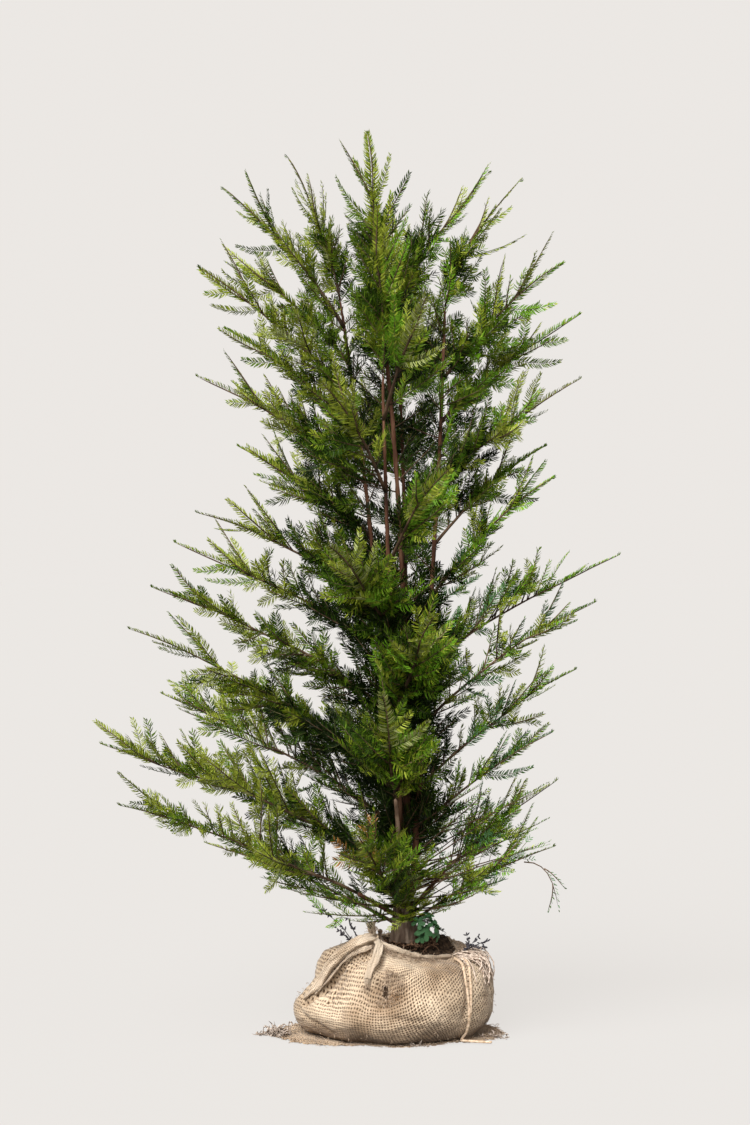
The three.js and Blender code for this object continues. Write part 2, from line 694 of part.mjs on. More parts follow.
for (const [name, { path, radiusAt, sides, steps }] of Object.entries(limbs)) {
  addNode(name === "bole" ? name : `stem_${name}`, limb(path, radiusAt, sides, steps), BARK);
}

branches.forEach((branch, index) => {
  if (branch.bareShare) {
    const bare = stretch(branch.path, 0, branch.bareShare);
    const bough = limb(bare, (t) => branch.radiusAt(branch.bareShare * t), 5, 4);
    addNode(`bough_${branch.name}`, bough.subtract(clearCopy(limbs[branch.parent])), BARK);
  }
  addNode(`mass_${branch.name}`, buildMass(branch, index + 1), NEEDLES);
});

export default plant;
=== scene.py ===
import json
import math
import bpy
import numpy as np
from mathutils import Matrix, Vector, noise

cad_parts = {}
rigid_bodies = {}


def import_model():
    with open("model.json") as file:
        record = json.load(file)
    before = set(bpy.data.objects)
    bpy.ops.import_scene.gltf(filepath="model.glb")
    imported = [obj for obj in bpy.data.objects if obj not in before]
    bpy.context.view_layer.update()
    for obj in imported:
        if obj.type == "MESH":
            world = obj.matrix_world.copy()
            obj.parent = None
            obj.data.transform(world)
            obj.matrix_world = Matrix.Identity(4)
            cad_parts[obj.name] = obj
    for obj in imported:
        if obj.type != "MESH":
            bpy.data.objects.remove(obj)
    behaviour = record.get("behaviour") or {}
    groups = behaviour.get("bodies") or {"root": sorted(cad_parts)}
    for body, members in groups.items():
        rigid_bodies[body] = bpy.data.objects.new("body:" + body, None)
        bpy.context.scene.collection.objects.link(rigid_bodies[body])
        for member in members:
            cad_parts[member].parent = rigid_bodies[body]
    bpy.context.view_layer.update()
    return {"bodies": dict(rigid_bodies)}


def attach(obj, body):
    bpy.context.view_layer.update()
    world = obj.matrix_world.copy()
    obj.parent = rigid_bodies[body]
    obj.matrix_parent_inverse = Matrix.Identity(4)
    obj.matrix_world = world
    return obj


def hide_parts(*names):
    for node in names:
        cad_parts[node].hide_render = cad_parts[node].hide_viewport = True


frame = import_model()
body = next(iter(frame["bodies"]))
mm = 0.001  # lengths below are in millimetres, as on the plant's own drawing

# The camera stands level with the middle of the plant, 4.6 m in front of it.
cameraPlace = {"at": (-37.6, -4600, 949), "lens": 72.4}
bpy.ops.object.camera_add(
    location=[value * mm for value in cameraPlace["at"]],
    rotation=(math.pi / 2, 0, 0),
)
camera = bpy.context.object
camera.data.lens = cameraPlace["lens"]
camera.data.clip_end = 300
bpy.context.scene.camera = camera
print("camera placed")


studio = {
    "floorRadius": 90000,
    "floorColour": (0.06, 0.06, 0.06),
    "floorGlow": (0.717, 0.689, 0.659),  # paper lit from behind, so that shadows on it are faint
    "skyColour": (0.835, 0.805, 0.775),
    "roomShare": 0.45,  # of the paper's and the sky's brightness, for what lights the plant
    "keyTurn": (45, 0, -30),  # degrees
    "keyStrength": 6.6,
    "keyAngle": 50,
    "fillTurn": (60, 0, 60),
    "fillStrength": 0.6,
    "fillAngle": 60,
}


def addSun(turn, strength, angle):
    bpy.ops.object.light_add(type="SUN", rotation=[math.radians(value) for value in turn])
    lamp = bpy.context.object.data
    lamp.energy = strength
    lamp.angle = math.radians(angle)


# Full strength where the camera looks, and the room's share of it for the light that falls on things.
def dimForLight(tree, socket):
    path = tree.nodes.new("ShaderNodeLightPath")
    share = tree.nodes.new("ShaderNodeMath")
    share.operation = "MAXIMUM"
    tree.links.new(path.outputs["Is Camera Ray"], share.inputs[0])
    share.inputs[1].default_value = studio["roomShare"]
    tree.links.new(share.outputs[0], socket)


def makeStudio():
    world = bpy.data.worlds.new("studioSky")
    bpy.context.scene.world = world
    world.use_nodes = True
    sky = world.node_tree.nodes["Background"]
    sky.inputs["Color"].default_value = (*studio["skyColour"], 1)
    dimForLight(world.node_tree, sky.inputs["Strength"])
    addSun(studio["keyTurn"], studio["keyStrength"], studio["keyAngle"])
    addSun(studio["fillTurn"], studio["fillStrength"], studio["fillAngle"])
    bpy.ops.mesh.primitive_circle_add(
        vertices=96, radius=studio["floorRadius"] * mm, fill_type="NGON", location=(0, 0, 0)
    )
    floor = bpy.context.object
    floor.name = "floor"
    paper = bpy.data.materials.new("floorPaper")
    paper.use_nodes = True
    shader = paper.node_tree.nodes["Principled BSDF"]
    shader.inputs["Base Color"].default_value = (*studio["floorColour"], 1)
    shader.inputs["Emission Color"].default_value = (*studio["floorGlow"], 1)
    dimForLight(paper.node_tree, shader.inputs["Emission Strength"])
    shader.inputs["Roughness"].default_value = 1
    shader.inputs["Specular IOR Level"].default_value = 0
    floor.data.materials.append(paper)
    bpy.context.scene.view_settings.view_transform = "Standard"


makeStudio()
print("studio ready")


class Recipe:
    # A material's node tree, with short ways to add a node and to join two.
    def __init__(self, name, roughness, specular=0.24):
        self.material = bpy.data.materials.new(name)
        self.material.use_nodes = True
        self.tree = self.material.node_tree
        self.shader = self.tree.nodes["Principled BSDF"]
        self.shader.inputs["Roughness"].default_value = roughness
        self.shader.inputs["Specular IOR Level"].default_value = specular

    def add(self, kind, **settings):
        made = self.tree.nodes.new("ShaderNode" + kind)
        for key, value in settings.items():
            if key in made.inputs:
                made.inputs[key].default_value = value
            else:
                setattr(made, key, value)
        return made

    def join(self, source, target):
        self.tree.links.new(source, target)
        return target

    def split(self, source):
        made = self.add("SeparateXYZ")
        self.join(source, made.inputs["Vector"])
        return made.outputs

    def math(self, operation, first, second=None):
        made = self.add("Math", operation=operation)
        for socket, value in zip(made.inputs, (first, second)):
            if hasattr(value, "node"):
                self.join(value, socket)
            elif value is not None:
                socket.default_value = value
        return made.outputs[0]

    def ramp(self, source, stops):
        made = self.add("ValToRGB")
        band = made.color_ramp
        while len(band.elements) < len(stops):
            band.elements.new(0.5)
        for element, (place, colour) in zip(band.elements, stops):
            element.position = place
            element.color = (*colour, 1)
        self.join(source, made.inputs["Fac"])
        return made.outputs["Color"]

    def noise(self, scale, detail=4, stretch=(1, 1, 1)):
        place = self.add("TexCoord")
        turn = self.add("Mapping")
        turn.inputs["Scale"].default_value = stretch
        self.join(place.outputs["Object"], turn.inputs["Vector"])
        made = self.add("TexNoise", Scale=scale, Detail=detail)
        self.join(turn.outputs["Vector"], made.inputs["Vector"])
        return made.outputs["Fac"]

    def bump(self, height, strength, distance):
        made = self.add("Bump", Strength=strength, Distance=distance * mm)
        self.join(height, made.inputs["Height"])
        self.join(made.outputs["Normal"], self.shader.inputs["Normal"])

    def paint(self, colour):
        self.join(colour, self.shader.inputs["Base Color"])

    def mix(self, amount, first, second, blend="MIX"):
        made = self.add("Mix", data_type="RGBA", blend_type=blend)
        for socket, value in zip((made.inputs[0], made.inputs[6], made.inputs[7]), (amount, first, second)):
            if hasattr(value, "node"):
                self.join(value, socket)
            else:
                socket.default_value = value
        return made.outputs[2]


def barkMaterial(name, dark, middle, pale):
    recipe = Recipe(name, 0.82, 0.2)
    strips = recipe.noise(60, 6, (1, 1, 0.16))
    patches = recipe.noise(22, 3, (1, 1, 0.5))
    height = recipe.math("ADD", recipe.math("MULTIPLY", strips, 0.6), recipe.math("MULTIPLY", patches, 0.4))
    recipe.paint(recipe.ramp(height, [(0.36, dark), (0.5, middle), (0.64, pale)]))
    recipe.bump(height, 0.7, 1.5)
    return recipe.material


# Damp soil has stained the cloth all over in blotches. Along its foot the cloth is painted darker as painted
# contact shade, partly soil stain, and in one hollow as painted shade in the recess, partly soil stain.
stainsAndShade = {
    "hollowAt": (-8, -186, 112),
    "squash": (1, 1, 0.55),
    "hollow": [(0.034, (0.42, 0.32, 0.23)), (0.068, (1, 1, 1))],
    "foot": [(0.005, (0.95, 0.9, 0.85)), (0.009, (0.42, 0.36, 0.31)), (0.05, (1, 1, 1))],
    "blotches": [(0.32, (0.52, 0.46, 0.40)), (0.6, (1, 1, 1))],
}


# Threads over and under each other, with open holes between them.
def weaveMaterial(name, gap, thread, pale, pitch, holes):
    recipe = Recipe(name, 0.95, 0.1)
    recipe.shader.inputs["Sheen Weight"].default_value = 0.12
    place = recipe.add("TexCoord")
    onMap = recipe.split(place.outputs["UV"])
    drift = recipe.math("SUBTRACT", recipe.noise(75, 2), 0.5)
    waves = []
    for axis in ("X", "Y"):
        turns = recipe.math("ADD", recipe.math("DIVIDE", onMap[axis], pitch * mm), drift)
        waves.append(recipe.math("SINE", recipe.math("MULTIPLY", turns, math.pi)))
    over = recipe.math("MULTIPLY", recipe.math("MULTIPLY", *waves), 0.16)
    warp = recipe.math("ADD", recipe.math("ABSOLUTE", waves[0]), over)
    weft = recipe.math("SUBTRACT", recipe.math("ABSOLUTE", waves[1]), over)
    height = recipe.math("MAXIMUM", warp, weft)
    slack = recipe.math("MULTIPLY", recipe.math("SUBTRACT", recipe.noise(14, 3), 0.5), 0.9)
    # The threads' crests are painted pale as painted highlight and their lower parts darker as painted shade;
    # the holes between them are painted dark.
    tones = [(holes, gap), (holes + 0.2, thread), (1.0, pale)]
    colour = recipe.ramp(recipe.math("SUBTRACT", height, slack), tones)
    squashed = recipe.add("VectorMath", operation="MULTIPLY")
    recipe.join(place.outputs["Object"], squashed.inputs[0])
    squashed.inputs[1].default_value = stainsAndShade["squash"]
    away = recipe.add("VectorMath", operation="DISTANCE")
    recipe.join(squashed.outputs["Vector"], away.inputs[0])
    away.inputs[1].default_value = Vector(stainsAndShade["hollowAt"]) * mm * Vector(stainsAndShade["squash"])
    hollowStainAndShade = recipe.math("ADD", away.outputs["Value"], recipe.math("MULTIPLY", recipe.noise(38, 5), 0.05))
    # blotches and fibres are the cloth's own tones; the foot and hollow layers are painted shade, partly soil
    # stain
    layers = [
        recipe.ramp(recipe.noise(11, 6), stainsAndShade["blotches"]),
        recipe.ramp(recipe.noise(420, 2), [(0.3, (0.72, 0.72, 0.72)), (0.7, (1, 1, 1))]),  # fibres
        recipe.ramp(recipe.split(place.outputs["Object"])["Z"], stainsAndShade["foot"]),
        recipe.ramp(hollowStainAndShade, stainsAndShade["hollow"]),
    ]
    for layer in layers:
        colour = recipe.mix(1.0, colour, layer, "MULTIPLY")
    recipe.paint(colour)
    recipe.bump(height, 0.9, 1.6)
    return recipe.material


def fibreMaterial(name, dark, pale):
    recipe = Recipe(name, 0.9, 0.1)
    recipe.paint(recipe.ramp(recipe.noise(180, 3), [(0.35, dark), (0.65, pale)]))
    recipe.bump(recipe.noise(900, 2), 0.4, 0.5)
    return recipe.material


def soilMaterial():
    recipe = Recipe("soilCrumb", 1.0, 0.05)
    crumbs = recipe.noise(160, 6)
    tones = [(0.35, (0.012, 0.008, 0.006)), (0.6, (0.05, 0.032, 0.02)), (0.72, (0.12, 0.08, 0.05))]
    recipe.paint(recipe.ramp(crumbs, tones))
    recipe.bump(crumbs, 1.0, 3)
    return recipe.material


def needleMaterial(name, colour):
    recipe = Recipe(name, 0.4, 0.12)
    recipe.shader.inputs["Base Color"].default_value = (*colour, 1)
    gloss = recipe.ramp(recipe.noise(240, 2), [(0.3, (0.36,) * 3), (0.7, (0.56,) * 3)])
    recipe.join(gloss, recipe.shader.inputs["Roughness"])
    return recipe.material


# deep and shade are mostly painted shade: the near-black and dark needles dealt to the crown's inside
needleColours = {
    "deep": (0.006, 0.014, 0.001),
    "shade": (0.024, 0.054, 0.003),
    "leaf": (0.086, 0.150, 0.008),
    "olive": (0.168, 0.206, 0.014),
    "fresh": (0.262, 0.306, 0.034),
    "sage": (0.275, 0.305, 0.105),
    "bright": (0.112, 0.245, 0.012),
    "lime": (0.330, 0.430, 0.018),
    "blue": (0.075, 0.170, 0.060),
    "rust": (0.300, 0.150, 0.040),
}
seedlingColour = (0.045, 0.115, 0.045)
# dark, middle and pale
barkTones = {
    "stemBark": ((0.035, 0.014, 0.008), (0.10, 0.042, 0.022), (0.20, 0.105, 0.06)),
    "boleBark": ((0.035, 0.022, 0.015), (0.12, 0.08, 0.055), (0.28, 0.21, 0.155)),
    "paleBark": ((0.10, 0.06, 0.04), (0.24, 0.15, 0.10), (0.38, 0.26, 0.18)),
    "twigBark": ((0.03, 0.018, 0.011), (0.085, 0.05, 0.028), (0.16, 0.105, 0.06)),
    "shootBark": ((0.03, 0.04, 0.014), (0.07, 0.085, 0.025), (0.13, 0.13, 0.045)),
}
# holes, threads in shade and in light, then the pitch of the threads and how wide the holes are
weaves = {
    "juteWeave": ((0.085, 0.055, 0.034), (0.38, 0.27, 0.175), (0.66, 0.52, 0.37), 5.4, 0.44),
    "juteRolled": ((0.30, 0.20, 0.13), (0.52, 0.395, 0.275), (0.74, 0.60, 0.45), 3.4, 0.20),
    "juteSoiled": ((0.03, 0.018, 0.012), (0.19, 0.12, 0.08), (0.36, 0.25, 0.17), 4.2, 0.36),
}
# dark and pale
fibreTones = {
    "juteFibre": ((0.22, 0.15, 0.10), (0.56, 0.43, 0.31)),
    "juteNet": ((0.34, 0.25, 0.19), (0.70, 0.58, 0.48)),
    "juteRags": ((0.10, 0.07, 0.05), (0.58, 0.48, 0.40)),
    "twineFibre": ((0.40, 0.28, 0.18), (0.72, 0.56, 0.41)),
    "deadBark": ((0.035, 0.035, 0.045), (0.12, 0.11, 0.12)),
    "rootBark": ((0.05, 0.025, 0.015), (0.26, 0.15, 0.09)),
}
finishes = {"soilCrumb": soilMaterial()}
for finishName, tones in barkTones.items():
    finishes[finishName] = barkMaterial(finishName, *tones)
for finishName, look in weaves.items():
    finishes[finishName] = weaveMaterial(finishName, *look)
for finishName, tones in fibreTones.items():
    finishes[finishName] = fibreMaterial(finishName, *tones)
for finishName, colour in {**needleColours, "seedling": seedlingColour}.items():
    finishes[finishName] = needleMaterial("needles" + finishName.capitalize(), colour)
print("materials mixed")


def finishPiece(piece, name, finish, replaced=()):
    piece.name = name
    piece.data.name = name
    piece.data.materials.clear()
    piece.data.materials.append(finishes[finish])
    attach(piece, body)
    if replaced:
        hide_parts(*replaced)


def readPoints(mesh):
    flat = np.empty(len(mesh.vertices) * 3, np.float32)
    mesh.vertices.foreach_get("co", flat)
    return flat.reshape(-1, 3).astype(float)


def writePoints(mesh, points):
    mesh.vertices.foreach_set("co", points.astype(np.float32).ravel())


# A grid bent over a surface: place() gives the point for each share across and along it, and the
# seam and the poles are merged. The map holds the two shares, or what mapping() makes of them.
def bentGrid(columns, rows, place, mapping=None):
    bpy.ops.object.select_all(action="DESELECT")
    bpy.ops.mesh.primitive_grid_add(x_subdivisions=columns, y_subdivisions=rows, size=2)
    piece = bpy.context.object
    mesh = piece.data
    shares = readPoints(mesh)[:, :2] / 2 + 0.5
    writePoints(mesh, place(shares[:, 0], shares[:, 1]) * mm)
    corners = np.empty(len(mesh.loops), np.int32)
    mesh.loops.foreach_get("vertex_index", corners)
    onMap = mapping(shares[:, 0], shares[:, 1]) if mapping else shares
    mesh.uv_layers[0].data.foreach_set("uv", onMap[corners].astype(np.float32).ravel())
    mesh.update()
    bpy.ops.object.mode_set(mode="EDIT")
    bpy.ops.mesh.select_all(action="SELECT")
    bpy.ops.mesh.remove_doubles(threshold=0.00002)
    bpy.ops.mesh.normals_make_consistent(inside=False)
    bpy.ops.object.mode_set(mode="OBJECT")
    bpy.ops.object.shade_smooth()
    return piece


# Moves each vertex along its own normal, by a height worked out from its place.
def raiseSurface(piece, heightAt):
    mesh = piece.data
    points = readPoints(mesh)
    normals = np.array([corner.vector[:] for corner in mesh.vertex_normals])
    writePoints(mesh, points + normals * heightAt(points / mm)[:, None] * mm)
    mesh.update()


def giveThickness(piece, thickness, offset):
    wall = piece.modifiers.new("thickness", "SOLIDIFY")
    wall.thickness = thickness * mm
    wall.offset = offset
    bpy.ops.object.modifier_apply(modifier=wall.name)


def roughness(points, size, octaves=3, shift=0.0):
    spread = points / size + shift
    return np.array([noise.fractal(Vector(place), 1.0, 2.0, octaves) for place in spread])


def joinedMesh(name, points, faces):
    mesh = bpy.data.meshes.new(name)
    mesh.from_pydata(points * mm, [], faces)
    mesh.update()
    piece = bpy.data.objects.new(name, mesh)
    bpy.context.scene.collection.objects.link(piece)
    return piece


def unit(vectors):
    return vectors / np.maximum(np.linalg.norm(vectors, axis=-1, keepdims=True), 1e-9)


# A direction square to each run: level, or in depth where what is judged stands upright.
def sideOf(runs, upright=0.97, judged=None):
    judged = runs if judged is None else judged
    steep = np.abs(judged[..., 2:3]) > upright
    return unit(np.cross(runs, np.where(steep, [0.0, 1.0, 0.0], [0.0, 0.0, 1.0])))


# A point, or many, at a radius and a turn about the ball's middle.
def onRing(radius, angle, height):
    return np.stack(np.broadcast_arrays(radius * np.cos(angle), radius * np.sin(angle), height), -1)


# Closed tubes along many lines at once. lines is tubes x points x 3, and radii is tubes x points.
# The last point of each is the tube's pointed end.
def tubeArrays(lines, radii, sides):
    count, steps, _ = lines.shape
    run = unit(np.gradient(lines, axis=1))
    side = sideOf(run, 0.9, run[:, :1])
    other = np.cross(run, side)
    turn = np.arange(sides) / sides * 2 * math.pi
    ring = side[:, :-1, None] * np.cos(turn)[None, None, :, None]
    ring = ring + other[:, :-1, None] * np.sin(turn)[None, None, :, None]
    rings = lines[:, :-1, None] + ring * radii[:, :-1, None, None]
    each = (steps - 1) * sides + 1
    points = np.concatenate([rings.reshape(count, -1, 3), lines[:, -1:]], axis=1).reshape(-1, 3)
    here = np.arange(sides)
    after = (here + 1) % sides
    faces = []
    for step in range(steps - 2):
        low, high = step * sides, (step + 1) * sides
        faces.append(np.stack([low + here, low + after, high + after], 1))
        faces.append(np.stack([low + here, high + after, high + here], 1))
    last = (steps - 2) * sides
    faces.append(np.stack([last + here, last + after, np.full(sides, each - 1)], 1))
    foot = np.arange(1, sides - 1)
    faces.append(np.stack([np.zeros_like(foot), foot + 1, foot], 1))
    pattern = np.concatenate(faces)
    return points, (pattern[None] + (np.arange(count) * each)[:, None, None]).reshape(-1, 3)


def tubePiece(name, lines, radii, sides, finish, replaced=()):
    points, faces = tubeArrays(lines, radii, sides)
    piece = joinedMesh(name, points, faces)
    piece.data.shade_smooth()
    finishPiece(piece, name, finish, replaced)


# A point, or many, on a smooth line through some points.
def through(points, share):
    points = np.asarray(points, float)
    place = np.clip(share, 0, 1) * (len(points) - 1)
    index = np.minimum(place.astype(int), len(points) - 2)
    t = (place - index)[..., None]
    before = points[np.maximum(index - 1, 0)]
    here, there = points[index], points[index + 1]
    beyond = points[np.minimum(index + 2, len(points) - 1)]
    slope, nextSlope = (there - before) / 2, (beyond - here) / 2
    cubic = 2 * here - 2 * there + slope + nextSlope
    square = -3 * here + 3 * there - 2 * slope - nextSlope
    return cubic * t**3 + square * t**2 + slope * t + here


# A point, or many, on a Bezier line of three or four control points.
def onBezier(controls, share):
    layers = [np.asarray(control, float) for control in controls]
    t = np.asarray(share, float)[..., None]
    while len(layers) > 1:
        layers = [low + (high - low) * t for low, high in zip(layers, layers[1:])]
    return layers[0]


# A seeded generator, the same as the solids use.
def makeRandom(seed):
    state = [seed * 2654435761 % 2**32]

    def draw():
        state[0] = (state[0] * 1664525 + 1013904223) % 2**32
        return state[0] / 2**32

    return draw


# Loose fibres: each leaves its root along a direction, wanders and droops, and stays above a floor.
def fibreLines(roots, directions, lengths, curl, droop, seed, steps=7, floor=0.8):
    rng = np.random.default_rng(seed)
    count = len(roots)
    lines = [roots]
    heading = unit(directions)
    for step in range(steps - 1):
        heading = unit(heading + rng.normal(0, curl, (count, 3)) + np.array([0, 0, -droop]))
        nextPoint = lines[-1] + heading * (lengths / (steps - 1))[:, None]
        nextPoint[:, 2] = np.maximum(nextPoint[:, 2], floor)
        lines.append(nextPoint)
    return np.stack(lines, 1)


wrap = {
    "foot": (150, 0),
    "belly": (200, 68),
    "shoulder": (163, 150),
    "rim": (104, 178),
    "openingX": 30,
    "knotAzimuth": 230,
    "knotLift": 16,
    "frontAzimuth": 290,
    "frontDip": 16,
    "rightAzimuth": 350,
    "rightDip": 10,
    "columns": 380,
    "rows": 110,
    "underShare": 0.08,  # of the grid's rows, for the flat underside
    "hemShare": 0.08,  # and for the hem that turns in over the rim
    "thickness": 2.4,
    "slant": 30,  # degrees
    "slantFrom": 0.69,  # of the way round
}
wrapProfile = np.array([
    wrap["foot"],
    ((wrap["foot"][0] + wrap["belly"][0]) / 2 + 11, wrap["belly"][1] / 4),
    wrap["belly"],
    wrap["shoulder"],
    wrap["rim"],
])


# The slump of the ball, as shares of its radius: lobes and pleats round it, a top that leans right and
# a tuck on the left. The knot pulls the rim up, and it is low in front.
slump = {
    "lobes": [(3, 2.2, 0.02), (5, 1.9, 0.014)],  # how many, where, and how far out
    "pleats": (11, 0.014),
    "shoulder": 0.07,
    "tuck": 0.12,
    "tuckAt": 0.6,  # of the way up
    "tuckWidth": 0.17,
}


# How near each azimuth is to one of the wrap's own: 1 there, and nought a quarter turn away.
def nearness(azimuth, key, power):
    return np.maximum(0, np.cos(azimuth - math.radians(wrap[key]))) ** power


def slumped(points, lift=None):
    lift = wrap["knotLift"] if lift is None else lift
    x, y, z = points[:, 0], points[:, 1], points[:, 2]
    azimuth = np.arctan2(y, x)
    high = np.clip(z / wrap["rim"][1], 0, 1)
    lobes = sum(depth * np.cos(number * azimuth + turn) for number, turn, depth in slump["lobes"])
    pleats = slump["pleats"][1] * high * np.cos(slump["pleats"][0] * azimuth)
    shoulder = slump["shoulder"] * np.maximum(0, np.cos(azimuth)) * np.sin(math.pi * high) * high
    tuck = np.exp(-(((high - slump["tuckAt"]) / slump["tuckWidth"]) ** 2))
    tuck = slump["tuck"] * np.maximum(0, -np.cos(azimuth)) * tuck
    scale = 1 + lobes + pleats + shoulder - tuck
    outer = np.clip(np.hypot(x, y) / wrap["rim"][0], 0, 1) ** 2
    rise = lift * nearness(azimuth, "knotAzimuth", 3)
    rise = rise - wrap["frontDip"] * nearness(azimuth, "frontAzimuth", 2)
    rise = rise - wrap["rightDip"] * nearness(azimuth, "rightAzimuth", 3) * outer
    return np.stack([x * scale + wrap["openingX"] * high**3, y * scale, z + rise * high**4], 1)


def onWrap(azimuth, share, standOff=0.0):
    azimuth, share = np.broadcast_arrays(np.radians(azimuth), np.asarray(share, float))
    at = through(wrapProfile, share)
    run = unit(through(wrapProfile, share + 1e-3) - through(wrapProfile, share - 1e-3))
    radius = at[..., 0] + run[..., 1] * standOff
    height = at[..., 1] - run[..., 0] * standOff
    flat = onRing(radius, azimuth, height)
    return slumped(flat.reshape(-1, 3)).reshape(flat.shape)


# Pulled folds of the cloth: azimuth and share of the way from foot to rim where each begins, the same
# where it ends, then its height, which is below nought in a tuck, and its width.
folds = {
    "underBand": (238, 0.88, 207, 0.50, -13, 7),
    "pleatLeft": (241, 0.84, 224, 0.54, -8, 5.5),
    "bulge": (238, 0.70, 246, 0.42, 9, 24),
    "pleatRight": (247, 0.86, 264, 0.56, -9, 10),
    "recess": (260, 0.66, 268, 0.58, -8, 15),
    "acrossRight": (265, 0.67, 278, 0.77, -6, 6),
    "slantRight": (272, 0.80, 292, 0.45, 5, 13),
    "rimHollow": (284, 0.86, 302, 0.80, -5, 10),
    "leftTuck": (203, 0.46, 230, 0.28, -6, 8),
    "twinePull": (318, 0.90, 313, 0.45, -6, 7),
    "rightPleat": (332, 0.88, 346, 0.50, -7, 8),
    "rightSag": (350, 0.80, 12, 0.60, 7, 16),
    "backPleat": (62, 0.92, 80, 0.40, -9, 9),
    "backSag": (95, 0.75, 112, 0.45, 8, 22),
    "farPleat": (138, 0.94, 122, 0.50, -9, 8),
    "leftPleat": (176, 0.92, 166, 0.48, -8, 8),
}


def foldHeights(points, wander):
    heights = np.zeros(len(points))
    for fromTurn, fromShare, toTurn, toShare, height, width in folds.values():
        turn = (toTurn - fromTurn + 180) % 360 - 180
        shares = np.linspace(0, 1, 9)
        line = onWrap(fromTurn + turn * shares, fromShare + (toShare - fromShare) * shares)
        nearest = np.full(len(points), np.inf)
        for start, end in zip(line, line[1:]):
            run = end - start
            along = np.clip((points - start) @ run / (run @ run), 0, 1)
            nearest = np.minimum(nearest, np.linalg.norm(points - start - along[:, None] * run, axis=1))
        heights += height * np.exp(-((nearest / np.maximum(width * (1 + 0.6 * wander), 2)) ** 2))
    return heights


# Folds that run from the knot, slack pleats under the rim, soft dents and small creases. Each dent or
# crease has its height, and its size across.
creasing = {
    "ridges": 8.5,
    "ridgeHeight": 7.5,
    "ridgeReach": 110,
    "slack": 2.2,
    "slackPleats": 19,
    "dents": (6.0, 80),
    "creases": (-4.0, 42),
    "radius": 165,  # of the ball where the ridges fan out
}


def clothHeight(points):
    knotAt = onWrap(wrap["knotAzimuth"], 1.0)
    azimuth = np.arctan2(points[:, 1], points[:, 0] - wrap["openingX"] * 0.4)
    turn = (azimuth - math.radians(wrap["knotAzimuth"]) + math.pi) % (2 * math.pi) - math.pi
    drop = np.maximum(knotAt[2] - points[:, 2], 0)
    away = np.hypot(turn * creasing["radius"], drop) + 1
    fan = np.arctan2(turn * creasing["radius"], drop)
    wander = roughness(points, 95, 2, 3.0)
    ridges = np.abs(np.sin(fan * creasing["ridges"] * 0.5 + 1.6 * wander)) ** 0.6
    near = np.exp(-away / creasing["ridgeReach"]) * np.clip((away - 14) / 40, 0, 1)
    pulled = creasing["ridgeHeight"] * near * (0.75 - ridges) * 2
    high = np.clip(points[:, 2] / wrap["rim"][1], 0, 1)
    slack = creasing["slack"] * high**4 * np.sin(azimuth * creasing["slackPleats"] + 4 * wander)
    dents = creasing["dents"][0] * roughness(points, creasing["dents"][1], 2, 9.0)
    creases = creasing["creases"][0] * np.abs(roughness(points * (1, 1, 1.8), creasing["creases"][1], 3, 5.0))
    onGround = np.clip(points[:, 2] / 12, 0, 1)
    return (pulled + slack + dents + creases + foldHeights(points, wander)) * onGround


def buildCloth():
    under, hem = wrap["underShare"], wrap["hemShare"]

    def place(across, along):
        azimuth = across * 2 * math.pi
        share = np.clip((along - under) / (1 - under - hem), 0, 1)
        at = through(wrapProfile, share)
        radius, height = at[:, 0], at[:, 1]
        flatPart = np.clip(along / under, 0, 1)
        radius = radius * flatPart
        turned = np.clip((along - 1 + hem) / hem, 0, 1)
        radius = radius - 9 * np.sin(turned * math.pi / 2)
        height = height + 3.5 * np.sin(turned * math.pi) - 26 * np.clip(turned - 0.35, 0, 1)
        return slumped(onRing(radius, azimuth, height))

    # the threads stand upright as far as the knot and slant beyond it
    def mapping(across, along):
        slant = np.radians(wrap["slant"]) * np.clip((across - wrap["slantFrom"]) / 0.13, 0, 1)
        u, v = (across - wrap["slantFrom"] - 0.06) * 1.2, (along - 0.5) * 0.29
        return np.stack([u * np.cos(slant) + v * np.sin(slant), v * np.cos(slant) - u * np.sin(slant)], 1)

    cloth = bentGrid(wrap["columns"], wrap["rows"], place, mapping)
    raiseSurface(cloth, clothHeight)
    giveThickness(cloth, wrap["thickness"], -1)
    finishPiece(cloth, "cloth", "juteWeave", ["cloth_wrap"])


# Rolled and twisted lengths of the cloth. A stop is an azimuth, a share of the way from foot to
# rim, and how far the roll's middle stands off the cloth.
rolls = {
    "band": {
        "stops": [(204, 0.53, 3), (210, 0.62, 6), (217, 0.75, 8), (224, 0.88, 10), (230, 0.985, 10)],
        "radius": lambda t: 5 + 11.5 * np.sin(math.pi * (0.06 + 0.68 * t)),
        "flatness": 0.66,
        "pleats": 4,
        "twist": 0.5,
    },
    "lowerFold": {
        "stops": [(235, 0.9, 5), (226, 0.78, 4), (216, 0.64, 3), (210, 0.56, 1)],
        "radius": lambda t: 5.5 - 3 * t,
        "flatness": 0.7,
        "pleats": 3,
        "twist": 0.4,
    },
    "rimRoll": {
        "stops": [(233, 0.98, 7), (252, 0.97, 4), (275, 0.975, 3), (297, 0.98, 3), (320, 0.985, 2)],
        "radius": lambda t: 6.5 - 2.5 * t,
        "flatness": 0.8,
        "pleats": 3,
        "twist": 2.2,
    },
    "ear": {
        "stops": [(233, 0.98, 10), (241, 0.90, 11), (246, 0.80, 11), (248.5, 0.70, 8), (250, 0.64, 4)],
        "radius": lambda t: 3.5 + 6 * np.sin(math.pi * (0.12 + 0.8 * t)),
        "flatness": 0.55,
        "pleats": 3,
        "twist": 0.6,
    },
}


# How far out an ellipse of a radius of one lies at each turn.
def flattened(turn, flatness):
    return flatness / np.hypot(np.cos(turn) * flatness, np.sin(turn))


